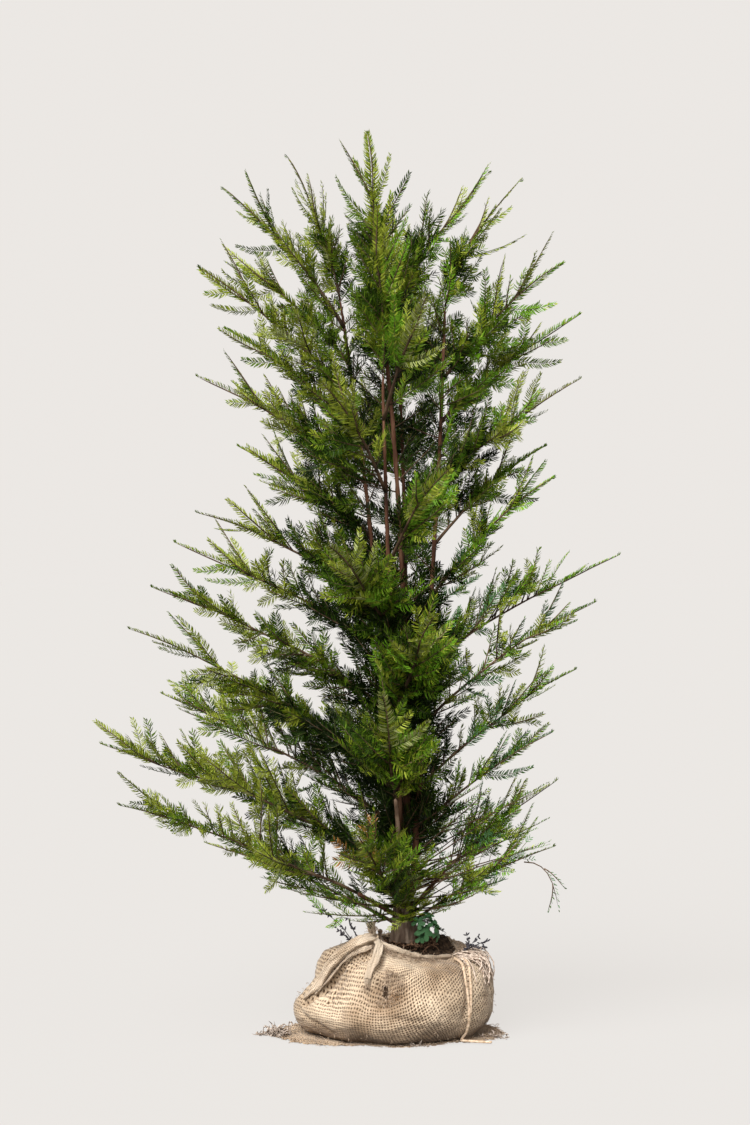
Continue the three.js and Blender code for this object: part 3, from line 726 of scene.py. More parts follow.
# A tube whose section can change; its ends are drawn to points. grid is its columns and rows.
def sweptPiece(name, line, radiusAt, section, grid, heightAt, finish, replaced=()):
    def place(across, along):
        run = unit(line(np.minimum(along + 0.01, 1)) - line(np.maximum(along - 0.01, 0)))
        side = sideOf(run)
        turn = across * 2 * math.pi
        ends = np.sqrt(np.clip(np.minimum(along, 1 - along) / 0.03, 0, 1))
        radius = (radiusAt(along) * section(turn, along) * ends)[:, None]
        turn = turn[:, None]
        return line(along) + side * (radius * np.cos(turn)) + np.cross(side, run) * (radius * np.sin(turn))

    piece = bentGrid(*grid, place, lambda across, along: np.stack([across * 0.09, along * 0.2], 1))
    raiseSurface(piece, heightAt)
    finishPiece(piece, name, finish, replaced)


# A line straight from one point to another.
def straight(foot, top):
    return lambda t: foot + (top - foot) * t[:, None]


# A height that is rough at one size.
def rough(depth, *size):
    return lambda points: depth * roughness(points, *size)


def buildRolls():
    for name, roll in rolls.items():
        azimuths, shares, offs = np.array(roll["stops"], float).T
        stops = np.array([onWrap(a, s, o) for a, s, o in zip(azimuths, shares, offs)])

        def section(turn, along, roll=roll):
            pleats = np.cos(roll["pleats"] * (turn + roll["twist"] * math.pi * along))
            creases = 0.19 * pleats + 0.09 * np.cos(7 * turn - 9 * along)
            return flattened(turn, roll["flatness"]) * (1 + creases)

        sweptPiece(name, lambda t, stops=stops: through(stops, t), roll["radius"], section, (60, 90),
                   rough(2.6, 17, 3, 1.0), "juteRolled")


# The gathered neck of cloth that stands up out of the knot, and the tie round it.
knot = {"neckHeight": 42, "neckRadius": 6, "tieRadius": 11.5, "lean": (-7, -2)}


# A flap of the cloth that stands up behind the knot, stained by the soil.
collar = {"from": (6, 6, 2), "to": (12, 12, 40), "width": 17, "flatness": 0.3}


def buildCollar(foot):
    low, high = foot + np.array(collar["from"]), foot + np.array(collar["to"])

    def section(turn, along):
        return flattened(turn, collar["flatness"]) * (1 + 0.16 * np.cos(5 * turn + 3 * along))

    def width(t):
        return collar["width"] * (0.75 + 0.3 * np.sin(7 * t)) * np.sqrt(1.02 - t)

    creased = rough(4.5, 15, 4, 5.0)
    sweptPiece("knotCollar", straight(low, high), width, section, (60, 50), creased, "juteSoiled")


def buildKnot():
    foot = onWrap(wrap["knotAzimuth"], 1.0) + np.array([-2, -3, -14])
    top = foot + np.array([knot["lean"][0], knot["lean"][1], knot["neckHeight"] + 14])

    def flare(t):
        return knot["neckRadius"] * (0.75 + 0.5 * np.abs(t - 0.45) ** 0.8 * 2)

    def section(turn, along):
        return 1 + 0.2 * np.cos(7 * turn + 2 * along) + 0.1 * np.cos(4 * turn - 5 * along)

    creased = rough(2.0, 12, 3, 2.0)
    sweptPiece("knotNeck", straight(foot, top), flare, section, (56, 40), creased, "juteRolled")
    buildCollar(foot)
    middle = foot + (top - foot) * 0.42
    turns = np.linspace(0, 1, 90)

    def tieLine(t):
        angle = t * 2 * math.pi * 2.2
        radius = knot["tieRadius"] * 0.86
        return middle + onRing(radius, angle, 5 * (t - 0.5) + 2 * np.sin(angle)) * (1, 0.8, 1)

    tie = tieLine(turns)[None]
    tubePiece("knotTie", tie, np.full(tie.shape[:2], 2.3), 8, "twineFibre")


soil = {
    # radius and height, from under its middle to the middle of its top
    "profile": [(0, 12), (130, 12), (182, 60), (150, 145), (118, 164), (96, 170), (58, 176), (0, 176)],
    "clods": [(7, 22, 4, 2.0), (3.5, 7, 3, 6.0)],  # height, size, octaves and shift
    "hollow": {"at": (-18, -20, 176), "depth": 16, "width": 22},
    "mound": {"x": 22, "radius": 40, "height": 7, "width": 16},  # a ring round the bole
    "bank": {"at": (78, 38), "height": 15, "width": 34},
}


def bell(distance, width):
    return np.exp(-((distance / width) ** 2))


def buildSoil():
    def place(across, along):
        radius, height = through(soil["profile"], along).T
        return slumped(onRing(radius, across * 2 * math.pi, height), 0)

    def heightAt(points):
        x, y, z = points.T
        clods = sum(depth * roughness(points, *size) for depth, *size in soil["clods"])
        hollow, mound, bank = soil["hollow"], soil["mound"], soil["bank"]
        toHollow = np.linalg.norm((points - hollow["at"]) * (1, 1, 0.3), axis=1)
        dip = hollow["depth"] * bell(toHollow, hollow["width"])
        ring = mound["height"] * bell(np.hypot(x - mound["x"], y) - mound["radius"], mound["width"])
        rise = bank["height"] * bell(np.hypot(x - bank["at"][0], y - bank["at"][1]), bank["width"])
        return np.clip((z - 140) / 25, 0, 1) * (clods - dip + ring + rise)

    piece = bentGrid(160, 110, place)
    raiseSurface(piece, heightAt)
    finishPiece(piece, "soil", "soilCrumb", ["soil_ball"])


# Small dead roots and bits of bark that lie in the opening.
rootBits = {
    "count": 190,
    "middle": (34, -4, 178),
    "spread": (52, 48, 5),
    "length": (10, 36),
    "radius": (0.5, 1.5),
    "rise": 13,  # where they lie on the bank
    "seed": 51,
}


def buildRootBits():
    rng = np.random.default_rng(rootBits["seed"])
    count = rootBits["count"]
    roots = np.array(rootBits["middle"]) + rng.uniform(-1, 1, (count, 3)) * rootBits["spread"]
    bank = soil["bank"]
    toBank = np.hypot(roots[:, 0] - bank["at"][0], roots[:, 1] - bank["at"][1])
    roots[:, 2] += rootBits["rise"] * bell(toBank, bank["width"])
    lengths = rng.uniform(*rootBits["length"], count)
    headings = rng.normal(0, 1, (count, 3)) * (1, 1, 0.35)
    lines = fibreLines(roots, headings, lengths, 0.5, 0.12, rootBits["seed"], 6, 160)
    radii = rng.uniform(*rootBits["radius"], (count, 1)) * np.linspace(1, 0.5, 6)
    tubePiece("rootBits", lines, radii, 5, "rootBark")


buildCloth()
buildRolls()
buildKnot()
buildSoil()
buildRootBits()
print("root ball wrapped")


# Two strands of twine, each laid up from three yarns.
twine = {
    "radius": 2.6,
    "standOff": 2.6,
    "yarns": 3,
    "lay": 13,  # length of one turn of a yarn
    "height": 6.2,
    "long": [(318, 0.92), (315.5, 0.8), (313.5, 0.64), (314, 0.48), (315.5, 0.33), (316, 0.2)],
    "tail": [(138, -138), (160, -147), (192, -154)],
    "short": [(325, 0.91), (321, 0.8), (317, 0.66), (315.4, 0.55), (314.8, 0.45), (315.4, 0.36)],
}


def yarnLines(stops):
    fine = through(stops, np.linspace(0, 1, 240))
    length = np.concatenate([[0], np.cumsum(np.linalg.norm(np.diff(fine, axis=0), axis=1))])
    run = unit(np.gradient(fine, axis=0))
    side = unit(np.cross(run, np.array([0.3, -0.9, 0.2])))
    other = np.cross(run, side)
    lines = []
    for yarn in range(twine["yarns"]):
        angle = length / twine["lay"] * 2 * math.pi + yarn * 2 * math.pi / twine["yarns"]
        swing = side * np.cos(angle)[:, None] + other * np.sin(angle)[:, None]
        lines.append(fine + swing * twine["radius"] * 0.52)
    return np.array(lines)


def buildTwine():
    longStops = [onWrap(a, s, twine["radius"] + twine["standOff"]) for a, s in twine["long"]]
    longStops += [np.array([x, y, twine["height"]]) for x, y in twine["tail"]]
    shortStops = [onWrap(a, s, twine["radius"] + twine["standOff"]) for a, s in twine["short"]]
    lines = np.concatenate([yarnLines(longStops), yarnLines(shortStops)])
    radii = np.full(lines.shape[:2], twine["radius"] * 0.55)
    tubePiece("twineStrands", lines, radii, 6, "twineFibre", ["twine"])


# The loose edge of the cloth on the ground.
skirt = {
    "thickness": 1,
    "from": 166,
    "to": 374,
    "narrow": 22,
    "left": (202, 46, 70),
    "right": (345, 34, 50),
    "columns": 420,
    "rows": 22,
}


def skirtReach(azimuth):
    reach = skirt["narrow"]
    for centre, halfSpan, length in (skirt["left"], skirt["right"]):
        reach = reach + length * np.cos(math.pi / 2 * np.minimum(1, np.abs(azimuth - centre) / halfSpan))
    return reach


def skirtFoot(azimuth):
    foot = onWrap(azimuth, 0.05)
    return np.hypot(foot[..., 0], foot[..., 1]) - 6


def skirtEdge(azimuth):
    rag = 0.55 + 0.3 * np.sin(azimuth * 0.61) * np.sin(azimuth * 0.23) + 0.15 * np.sin(azimuth * 2.9)
    return skirtFoot(azimuth) + 9 + skirtReach(azimuth) * (0.72 + 0.28 * rag)


def buildSkirt():
    def place(across, along):
        azimuth = skirt["from"] + (skirt["to"] - skirt["from"]) * across
        inner, outer = skirtFoot(azimuth), skirtEdge(azimuth)
        radius = inner + (outer - inner) * along
        flat = onRing(radius, np.radians(azimuth), 0.0)
        ripple = 2.4 + 2.2 * roughness(flat, 26, 2, 4.0) + 1.6 * roughness(flat, 9, 2, 8.0)
        flat[:, 2] = np.clip(ripple * (0.6 + 0.5 * along), 0.2, 9) + 0.6
        return flat

    def mapping(across, along):
        return np.stack([across * 0.75, along * 0.08], 1)

    cloth = bentGrid(skirt["columns"], skirt["rows"], place, mapping)
    giveThickness(cloth, skirt["thickness"], 1)
    finishPiece(cloth, "skirtCloth", "juteWeave", ["skirt"])


fraying = {
    # how many, azimuths, shares of the way from foot to rim, lengths and the seed
    "cloth": {
        "rimRight": (90, (318, 372), (0.88, 1.0), (10, 26), 31),
        "rimBack": (130, (20, 200), (0.95, 1.0), (6, 18), 32),
        "rimFront": (260, (234, 300), (0.88, 1.0), (7, 20), 33),
        "wall": (260, (170, 380), (0.08, 0.9), (4, 11), 34),
        "hollow": (190, (258, 272), (0.56, 0.74), (6, 16), 35),
    },
    "tufts": {
        "neck": {"count": 80, "lean": (-0.1, 0, 1.0), "length": (6, 18), "droop": 0.1, "seed": 42},
        "ear": {"count": 50, "lean": (0, -0.2, -0.8), "length": (5, 15), "droop": 0.2, "seed": 43},
    },
    "tuftSpread": 3.5,
    "skirt": {"count": 800, "depth": 16, "height": (1.2, 5.0), "length": (5, 20), "seed": 44},
    "radius": 0.42,
}


def buildFraying():
    parts = []
    for count, azimuths, shares, lengths, seed in fraying["cloth"].values():
        rng = np.random.default_rng(seed)
        place = rng.uniform(*azimuths, count), rng.uniform(*shares, count)
        roots = onWrap(*place, 0.5)
        outward = unit(onWrap(*place, 9.0) - roots)
        sizes = rng.uniform(*lengths, count)
        loose = rng.normal(0, 0.8, roots.shape)
        parts.append(fibreLines(roots, outward * 0.7 + loose, sizes, 0.45, 0.18, seed))
    rng = np.random.default_rng(41)
    feet = {
        "neck": onWrap(wrap["knotAzimuth"], 1.0) + (-7, -7, knot["neckHeight"] - 16),
        "ear": onWrap(*rolls["ear"]["stops"][-1][:2], 5.0),
    }
    for key, spec in fraying["tufts"].items():
        roots = feet[key] + rng.normal(0, fraying["tuftSpread"], (spec["count"], 3))
        headings = rng.normal(0, 0.5, (spec["count"], 3)) + spec["lean"]
        lengths = rng.uniform(*spec["length"], spec["count"])
        parts.append(fibreLines(roots, headings, lengths, 0.3, spec["droop"], spec["seed"]))
    spec = fraying["skirt"]
    azimuth = rng.uniform(skirt["from"], skirt["to"], spec["count"])
    radius = skirtEdge(azimuth) - rng.uniform(0, spec["depth"], spec["count"])
    angle = np.radians(azimuth)
    roots = onRing(radius, angle, rng.uniform(*spec["height"], spec["count"]))
    outward = onRing(0.5, angle, 0.025)
    lengths = rng.uniform(*spec["length"], spec["count"]) * np.minimum(1.0, skirtReach(azimuth) / 45)
    headings = outward + rng.normal(0, 0.6, roots.shape) * (1, 1, 0.25)
    parts.append(fibreLines(roots, headings, lengths, 0.4, 0.12, spec["seed"]))
    lines = np.concatenate(parts)
    radii = fraying["radius"] * np.random.default_rng(46).uniform(0.7, 1.6, (len(lines), 1))
    tubePiece("juteFraying", lines, np.broadcast_to(radii, lines.shape[:2]), 3, "juteFibre")


# A net of slack threads over the right shoulder, where the cloth has worn through.
net = {
    "threads": 58,
    "steps": 14,
    "azimuth": (320, 360),
    "shares": (0.99, 0.86, 0.60),  # where threads start and end, from and to, and the one they all cross
    "bow": 7,
    "off": (3, 15),
    "radius": (0.8, 1.7),
    "seed": 61,
}


def buildNet():
    rng = np.random.default_rng(net["seed"])
    lines, radii = [], []
    steps = net["steps"]
    high, middle, low = net["shares"]
    for _ in range(net["threads"]):
        start, end = rng.uniform(*net["azimuth"], 2)
        end = start + (end - start) * 0.7
        share = np.linspace(rng.uniform(middle, high), rng.uniform(low, middle), steps)
        bow = rng.uniform(-net["bow"], net["bow"]) * np.sin(np.linspace(0, math.pi, steps))
        azimuth = np.linspace(start, end, steps) + bow
        off = 1.5 + rng.uniform(*net["off"]) * np.sin(np.linspace(0.15, math.pi, steps)) ** 0.7
        line = onWrap(azimuth, share, 0.0)
        outward = unit(onWrap(azimuth, share, 5.0) - line)
        lines.append(line + outward * off[:, None] + rng.normal(0, 0.8, line.shape))
        radii.append(np.full(steps, rng.uniform(*net["radius"])))
    tubePiece("net", np.array(lines), np.array(radii), 5, "juteNet")


# Crumpled rags of cloth and litter that lie at the left, and a few bits in front and at the right.
rags = {
    "heaps": {
        "left": {"count": 150, "middle": (-228, -66, 9), "spread": (30, 24, 6), "length": (12, 34)},
        "leftEdge": {"count": 26, "middle": (-262, -62, 4), "spread": (22, 14, 2), "length": (10, 34)},
        "front": {"count": 26, "middle": (44, -168, 4), "spread": (32, 6, 2), "length": (7, 20)},
        "right": {"count": 34, "middle": (206, -92, 5), "spread": (34, 18, 3), "length": (9, 26)},
    },
    "width": (1.2, 4.2),
    "steps": 8,
    "seed": 71,
}


def buildRags():
    rng = np.random.default_rng(rags["seed"])
    lines, radii = [], []
    steps, lowest = rags["steps"], rags["width"][1] * 0.6
    for heap in rags["heaps"].values():
        count = heap["count"]
        off = unit(rng.normal(0, 1, (count, 3))) * rng.uniform(0, 1, (count, 1)) * heap["spread"]
        roots = np.array(heap["middle"]) + off
        headings = rng.normal(0, 1, (count, 3)) * (1, 1, 0.4)
        lengths = rng.uniform(*heap["length"], count)
        roots[:, 2] = np.maximum(roots[:, 2], lowest)
        ownSeed = int(rng.integers(999))
        lines.append(fibreLines(roots, headings, lengths, 0.7, 0.1, ownSeed, steps, lowest))
        swell = np.sin(np.linspace(0.35, math.pi, steps)) * rng.uniform(0.5, 1, (count, steps))
        radii.append(rng.uniform(*rags["width"], (count, 1)) * 0.6 * np.maximum(swell, 0.25))
    tubePiece("rags", np.concatenate(lines), np.concatenate(radii), 5, "juteRags")


# Thin dead twigs with shrivelled leaves, caught under the rim and in the net. Each has a foot on the
# cloth, a heading and a length.
deadTwigs = {
    "twigs": [
        ((333, 0.97), (0.75, -0.1, 0.75), 58),
        ((340, 0.95), (0.9, -0.2, 0.45), 62),
        ((336, 0.97), (0.35, -0.1, 0.95), 44),
        ((348, 0.93), (0.95, 0.1, 0.2), 46),
        ((205, 0.93), (-0.8, -0.3, 0.75), 58),
        ((212, 0.97), (-0.5, -0.2, 0.9), 66),
        ((198, 0.95), (-0.85, 0.1, 0.7), 112),
    ],
    "leaves": 24,
    "leafLength": (4, 10),
    "seed": 81,
}


def buildDeadTwigs():
    rng = np.random.default_rng(deadTwigs["seed"])
    lines, radii = [], []
    shares = np.linspace(0, 1, 8)
    for (turn, share), heading, length in deadTwigs["twigs"]:
        foot = onWrap(turn, share, 0.5)
        way = unit(np.array(heading))
        controls = [foot, foot + way * length * 0.5 + rng.normal(0, 9, 3), foot + way * length]
        lines.append(onBezier(controls, shares) + rng.normal(0, 0.5, (8, 3)))
        radii.append(np.linspace(1.0, 0.4, 8))
        for _ in range(deadTwigs["leaves"]):
            at = onBezier(controls, rng.uniform(0.2, 1.0))
            along = unit(way + rng.normal(0, 0.8, 3))
            lines.append(at + along * np.linspace(0, rng.uniform(*deadTwigs["leafLength"]), 8)[:, None])
            radii.append(0.4 + 1.1 * np.sin(np.linspace(0.2, math.pi, 8)))
    tubePiece("deadTwigs", np.array(lines), np.array(radii), 4, "deadBark")


buildTwine()
buildSkirt()
buildFraying()
buildNet()
buildRags()
buildDeadTwigs()
print("twine, skirt and loose fibres laid")


bole = {"x": 22, "radius": 23, "flare": 28, "foot": 176.3, "top": 262}
endGap = 0.7
endClearance = 0.3
stemTipRadius = 2.8
stemRing = 15.6
# name: distance from the bole's middle, turn of the foot, radius, and where the stem passes at a
# third and at two thirds of its height, and ends
stems = {
    "leader": (0, 0, 8.5, (50, 0, 700), (20, 5, 1100), (-30, 0, 1500)),
    "left": (stemRing, 180, 6.6, (-5, -20, 620), (-45, -25, 1060), (-108, -10, 1480)),
    "right": (stemRing, 0, 6.8, (85, -5, 600), (95, 0, 1080), (105, 5, 1470)),
    "front": (stemRing, 252, 6.2, (0, -72, 620), (-18, -78, 980), (-22, -72, 1330)),
    "back": (stemRing, 72, 6.4, (38, 78, 600), (30, 95, 1000), (10, 88, 1400)),
}


def stemControls(ring, footTurn, low, middle, end):
    angle = math.radians(footTurn)
    foot = np.array([bole["x"] + ring * math.cos(angle), ring * math.sin(angle), bole["top"] + endGap])
    rise = foot + (np.array(low, float) - foot) * 0.4
    rise[2] = low[2]
    return [foot, rise, np.array(middle, float), np.array(end, float)]


boleEnds = [np.array([bole["x"], 0, bole["foot"]]), np.array([bole["x"], 0, bole["top"]])]
limbs = {"bole": {"path": boleEnds, "radius": bole["flare"]}}
for stemName, (ring, footTurn, radius, *stops) in stems.items():
    limbs[stemName] = {"path": stemControls(ring, footTurn, *stops), "radius": radius}

# Branches: name, what it grows from, height of its root, azimuth, reach, height of its tip, bare share.
branchRows = [
    ("top_leader", "leader", None, 200, 24, 1821, 0),
    ("top_left", "left", None, 178, 112, 1772, 0),
    ("top_right", "right", None, 352, 152, 1724, 0),
    ("top_front", "front", None, 262, 95, 1655, 0),
    ("top_back", "back", None, 96, 100, 1690, 0),
    ("left_1", "left", 1425, 192, 246, 1699, 0),
    ("left_2", "left", 1350, 146, 290, 1577, 0),
    ("left_3", "left", 1275, 197, 325, 1529, 0),
    ("left_4", "left", 1205, 155, 305, 1441, 0),
    ("left_5", "left", 1110, 186, 342, 1324, 0),
    ("left_6", "left", 1000, 150, 320, 1190, 0),
    ("left_7", "left", 880, 196, 378, 1046, 0),
    ("left_8", "left", 770, 168, 436, 989, 0),
    ("left_9", "left", 650, 208, 515, 905, 0),
    ("left_10", "left", 520, 181, 536, 812, 0),
    ("left_11", "left", 415, 153, 560, 666, 0.2),
    ("left_12", "left", 325, 188, 598, 585, 0.18),
    ("left_13", "bole", 222, 209, 626, 487, 0.2),
    ("left_14", "bole", 205, 166, 426, 366, 0),
    ("right_1", "leader", 1420, 10, 216, 1748, 0),
    ("right_2", "right", 1320, 338, 258, 1547, 0),
    ("right_3", "right", 1235, 22, 316, 1462, 0),
    ("right_4", "right", 1110, 350, 292, 1314, 0),
    ("right_5", "right", 985, 28, 262, 1190, 0),
    ("right_6", "right", 880, 333, 268, 1121, 0),
    ("right_7", "right", 735, 6, 400, 964, 0),
    ("right_8", "right", 620, 336, 366, 873, 0),
    ("right_9", "right", 490, 18, 346, 727, 0),
    ("right_10", "right", 400, 336, 292, 616, 0),
    ("right_11", "bole", 226, 8, 316, 500, 0.3),
    ("right_12", "bole", 206, 338, 318, 384, 0),
    ("front_1", "front", 1235, 292, 225, 1460, 0),
    ("front_2", "front", 1090, 240, 245, 1300, 0),
    ("front_3", "front", 945, 296, 262, 1130, 0),
    ("front_4", "front", 800, 246, 300, 985, 0),
    ("front_5", "front", 640, 284, 310, 850, 0),
    ("front_6", "front", 330, 262, 285, 700, 0.36),
    ("front_7", "bole", 214, 252, 330, 440, 0),
    ("back_1", "back", 1290, 66, 235, 1500, 0),
    ("back_2", "back", 1120, 118, 262, 1330, 0),
    ("back_3", "back", 960, 62, 285, 1150, 0),
    ("back_4", "back", 800, 122, 330, 990, 0),
    ("back_5", "back", 620, 78, 350, 830, 0),
    ("back_6", "back", 430, 118, 385, 640, 0),
    ("back_7", "bole", 222, 80, 385, 470, 0),
]
branchShape = {"foot": 5.2, "tip": 1.6, "archOut": 0.42, "archUp": 0.6}


def shareAtHeight(path, height):
    low, high = 0.0, 1.0
    for _ in range(30):
        middle = (low + high) / 2
        if onBezier(path, middle)[2] < height:
            low = middle
        else:
            high = middle
    return low


def makeBranch(name, parent, rootHeight, azimuth, reach, tipHeight, bareShare):
    path = limbs[parent]["path"]
    atEnd = rootHeight is None
    root = onBezier(path, 1.0 if atEnd else shareAtHeight(path, rootHeight))
    if atEnd:
        root = root + unit(onBezier(path, 1.0) - onBezier(path, 0.99)) * endGap
    angle = math.radians(azimuth)
    out = np.array([math.cos(angle), math.sin(angle), 0])
    middle = root + out * reach * (0.3 if atEnd else branchShape["archOut"])
    middle[2] += (tipHeight - root[2]) * branchShape["archUp"]
    tip = root + out * reach
    tip[2] = tipHeight
    controls = [root, middle, tip]
    line = onBezier(controls, np.linspace(0, 1, 13))
    foot = stemTipRadius if atEnd else branchShape["foot"]
    fine = onBezier(controls, np.linspace(0, 1, 60))
    length = np.linalg.norm(np.diff(fine, axis=0), axis=1).sum()
    return {"name": name, "atEnd": atEnd, "path": controls, "foot": foot, "bare": bareShare,
            "line": line, "length": length}


branches = [makeBranch(*row) for row in branchRows]


def branchRadius(own, share):
    return own["foot"] + (branchShape["tip"] - own["foot"]) * share**0.8


# Bark: long flaking strips, deeper on the bole.
def barkHeight(depth, size):
    def heightAt(points):
        strips = roughness(points * (1, 1, 0.22), size, 4, 1.0)
        flakes = np.maximum(0, roughness(points * (1, 1, 0.5), size * 0.45, 2, 7.0))
        return depth * (strips + 0.8 * flakes)

    return heightAt


def buildBole():
    def radiusAt(t):
        return bole["radius"] + (bole["flare"] - bole["radius"]) * (1 - t) ** 3

    def fluted(turn, along):
        return 1 + (0.08 * np.cos(3 * turn + 1.5 * along) + 0.05 * np.cos(5 * turn - 2)) * (1 - 0.4 * along)

    line = straight(*limbs["bole"]["path"])
    relief = barkHeight(3.0, 13)
    sweptPiece("boleBark", line, radiusAt, fluted, (96, 60), relief, "boleBark", ["bole"])


def buildStem(name, path, radius):
    def radiusAt(t):
        return radius + (stemTipRadius - radius) * t**0.85 + 1.6 * np.exp(-t * 60)

    def knobbly(turn, along):
        return 1 + 0.07 * np.cos(3 * turn + 20 * along) + 0.05 * np.sin(90 * along)

    node = "stem_" + name
    sweptPiece(node + "_bark", lambda t: onBezier(path, t), radiusAt, knobbly, (18, 260), barkHeight(0.9, 9),
               "stemBark", [node])


def buildBough(own):
    def oval(turn, along):
        return 1 + 0.06 * np.cos(3 * turn + 9 * along)

    node = "bough_" + own["name"]
    finish = "paleBark" if own["name"] == "front_6" else "stemBark"
    sweptPiece(node + "_bark", lambda t: onBezier(own["path"], t * own["bare"]),
               lambda t: branchRadius(own, t * own["bare"]), oval, (14, 90), barkHeight(0.6, 7),
               finish, [node])


def buildLimbs():
    buildBole()
    for name in stems:
        buildStem(name, **limbs[name])
    for own in branches:
        if own["bare"]:
            buildBough(own)


buildLimbs()
print("limbs grown")


# The solids' own rule: sprays to both sides of each branch, up to its clear leading shoot.
spray = {
    "sideHalfWidth": 60,
    "widthShare": 0.42,  # of a spray's length, for its half width
    "tipShare": 0.5,
    "spacing": 66,
    "clearance": 50,
    "first": 0.03,
    "lead": 185,  # clear length at the end of a branch
    "topLead": 215,  # and of one that carries a stem on
    "leastReach": 0.34,
    "longest": 185,
    "shortest": 80,
    "lengthShare": 0.58,  # of the way left to the branch's tip
    "topLengthShare": 0.36,
    "spread": (30, 56),
    "roll": (-40, 130),
    "rise": 24,
    "tries": 10,
    "shrink": (1, 0.78, 0.6, 0.45),
}
# The finer growth that the solids leave out.
finer = {
    "extraPerSpray": 7,  # more sprays between those of the solids
    "extraLength": (0.4, 1.0),  # of what the solids' rule gives there
    "shortestExtra": 45,
    "extraClearance": 11,
    "forks": 4,  # beside each lead
    "forkShare": 0.62,  # of the lead
    "forkSpread": (12, 36),
    "forkRoll": (-40, 140),
    "forkClearance": 10,
    "shootPitch": 40,
    "shootSpread": (32, 52),
    "shootShare": 0.62,  # of the way left to the twig's tip
    "shortestShoot": 38,
    "needleLength": 21.5,
}
# A needle. It leans out from its shoot, and is raised over it, by degrees.
needle = {
    "pitch": 1.75,
    "width": 2.3,
    "lean": 58,
    "leanLessAtTip": 20,
    "leanSpread": 5,
    "raisedSpread": 9,
    "rollSpread": 0.38,  # radians
    "sweep": 0.1,  # of its length, on towards the shoot's tip
}



# Where a line's segments start, and their runs.
def segments(lines):
    starts = np.concatenate([line[:-1] for line in lines])
    return starts, np.concatenate([np.diff(line, axis=0) for line in lines])


lineStarts, lineRuns = segments([own["line"] for own in branches])
limbStarts, limbRuns = segments([onBezier(limb["path"], np.linspace(0, 1, 13)) for limb in limbs.values()])
limbRadii = np.array([limb["radius"] for limb in limbs.values()])


# Distance from each point to each group of twelve segments.
def groupDistances(points, starts, runs):
    offset = points[:, None] - starts[None]
    squares = np.maximum((runs**2).sum(1), 1e-9)
    share = np.clip((offset * runs[None]).sum(2) / squares[None], 0, 1)
    gaps = np.linalg.norm(offset - share[..., None] * runs[None], axis=2)
    return gaps.reshape(len(points), -1, 12).min(2)


# Whether points lie nearer to a branch than to any other, clear of the limbs and the ball.
def isInside(points, index, margin=5.0, limbMargin=5.0):
    points = np.atleast_2d(points)
    gaps = groupDistances(points, lineStarts, lineRuns)
    mine = gaps[:, index].copy()
    gaps[:, index] = np.inf
    limbGaps = groupDistances(points, limbStarts, limbRuns)
    clearOfLimbs = (limbGaps > limbRadii[None] + limbMargin).all(1)
    inBall = (np.hypot(points[:, 0], points[:, 1]) < wrap["belly"][0] + 10) & (points[:, 2] < 205)
    return (gaps.min(1) > mine + margin) & clearOfLimbs & ~inBall


def frameAt(path, share):
    run = unit(onBezier(path, min(share + 0.01, 1)) - onBezier(path, max(share - 0.01, 0)))
    side = sideOf(run)
    return onBezier(path, share), run, side, np.cross(side, run)


def distanceToLine(point, line):
    best = math.inf
    for start, end in zip(line, line[1:]):
        run = end - start
        share = min(max(np.dot(point - start, run) / max(np.dot(run, run), 1e-9), 0), 1)
        best = min(best, np.linalg.norm(point - start - run * share))
    return best


def between(limits, draw):
    return limits[0] + (limits[1] - limits[0]) * draw()


# One spray's twig: tried at several turns and sizes until it keeps to its branch's own space.
def placeSpray(own, index, share, hand, draw, placed, wanted, clearance, edgeShare,
               spreads=spray["spread"], rolls=spray["roll"]):
    point, run, side, lift = frameAt(own["path"], share)
    for shrink in spray["shrink"]:
        for _ in range(spray["tries"]):
            spread = math.radians(between(spreads, draw))
            roll = math.radians(between(rolls, draw))
            twist = math.pi * draw()
            direction = run * math.cos(spread)
            direction = direction + side * hand * math.sin(spread) * math.cos(roll)
            direction = direction + lift * math.sin(spread) * math.sin(roll)
            length = wanted * shrink
            end = point + direction * length
            end[2] += spray["rise"] * length / spray["longest"]
            path = [point, point + direction * length * 0.5, end]
            line = onBezier(path, np.array([0.45, 1.0]))
            if any(distanceToLine(stop, other) <= clearance for other in placed for stop in line):
                continue
            halfWidth = min(spray["sideHalfWidth"], spray["widthShare"] * length)
            if fitsSpace(path, halfWidth * edgeShare, twist, index):
                placed.append(line)
                return {"path": path, "length": length}
    return None


def fitsSpace(path, edgeWidth, twist, index):
    stops = []
    for share in (0.3, 0.55, 0.8, 1.0):
        point, run, side, lift = frameAt(path, share)
        across = side * math.cos(twist) + np.cross(run, side) * math.sin(twist)
        edge = edgeWidth if share < 1 else 0
        stops += [point - across * edge, point, point + across * edge]
    return bool(isInside(np.array(stops), index).all())


# Some branches bear slighter extra sprays than the rule gives.
slighter = {"left_1": 0.3, "left_2": 0.35, "left_3": 0.45, "left_4": 0.5, "left_5": 0.75, "left_8": 0.6,
            "left_9": 0.7, "left_10": 0.8, "left_11": 1.2, "left_12": 1.2, "left_13": 0.7, "left_14": 0.75,
            "right_1": 0.7, "right_2": 0.6, "right_3": 0.6, "right_4": 0.6, "right_5": 0.65, "right_6": 0.6,
            "right_7": 0.8, "right_8": 0.5, "right_9": 0.55, "right_10": 0.55, "right_11": 0.85,
            "right_12": 0.75, "top_left": 0.8, "top_right": 0.7}
# Extra sprays that hang below their branch or stand over it: the turns about it, from and to.
turned = {"left_10": (-150, 10), "left_9": (-130, 90), "right_7": (35, 145)}
# Branches whose end has fewer forks.
fewForks = {"left_10": 1, "right_7": 1, "left_12": 1, "left_13": 1}
# Boughs that bear a few sprays before their mass begins.
leafyBoughs = ("left_11", "left_12")
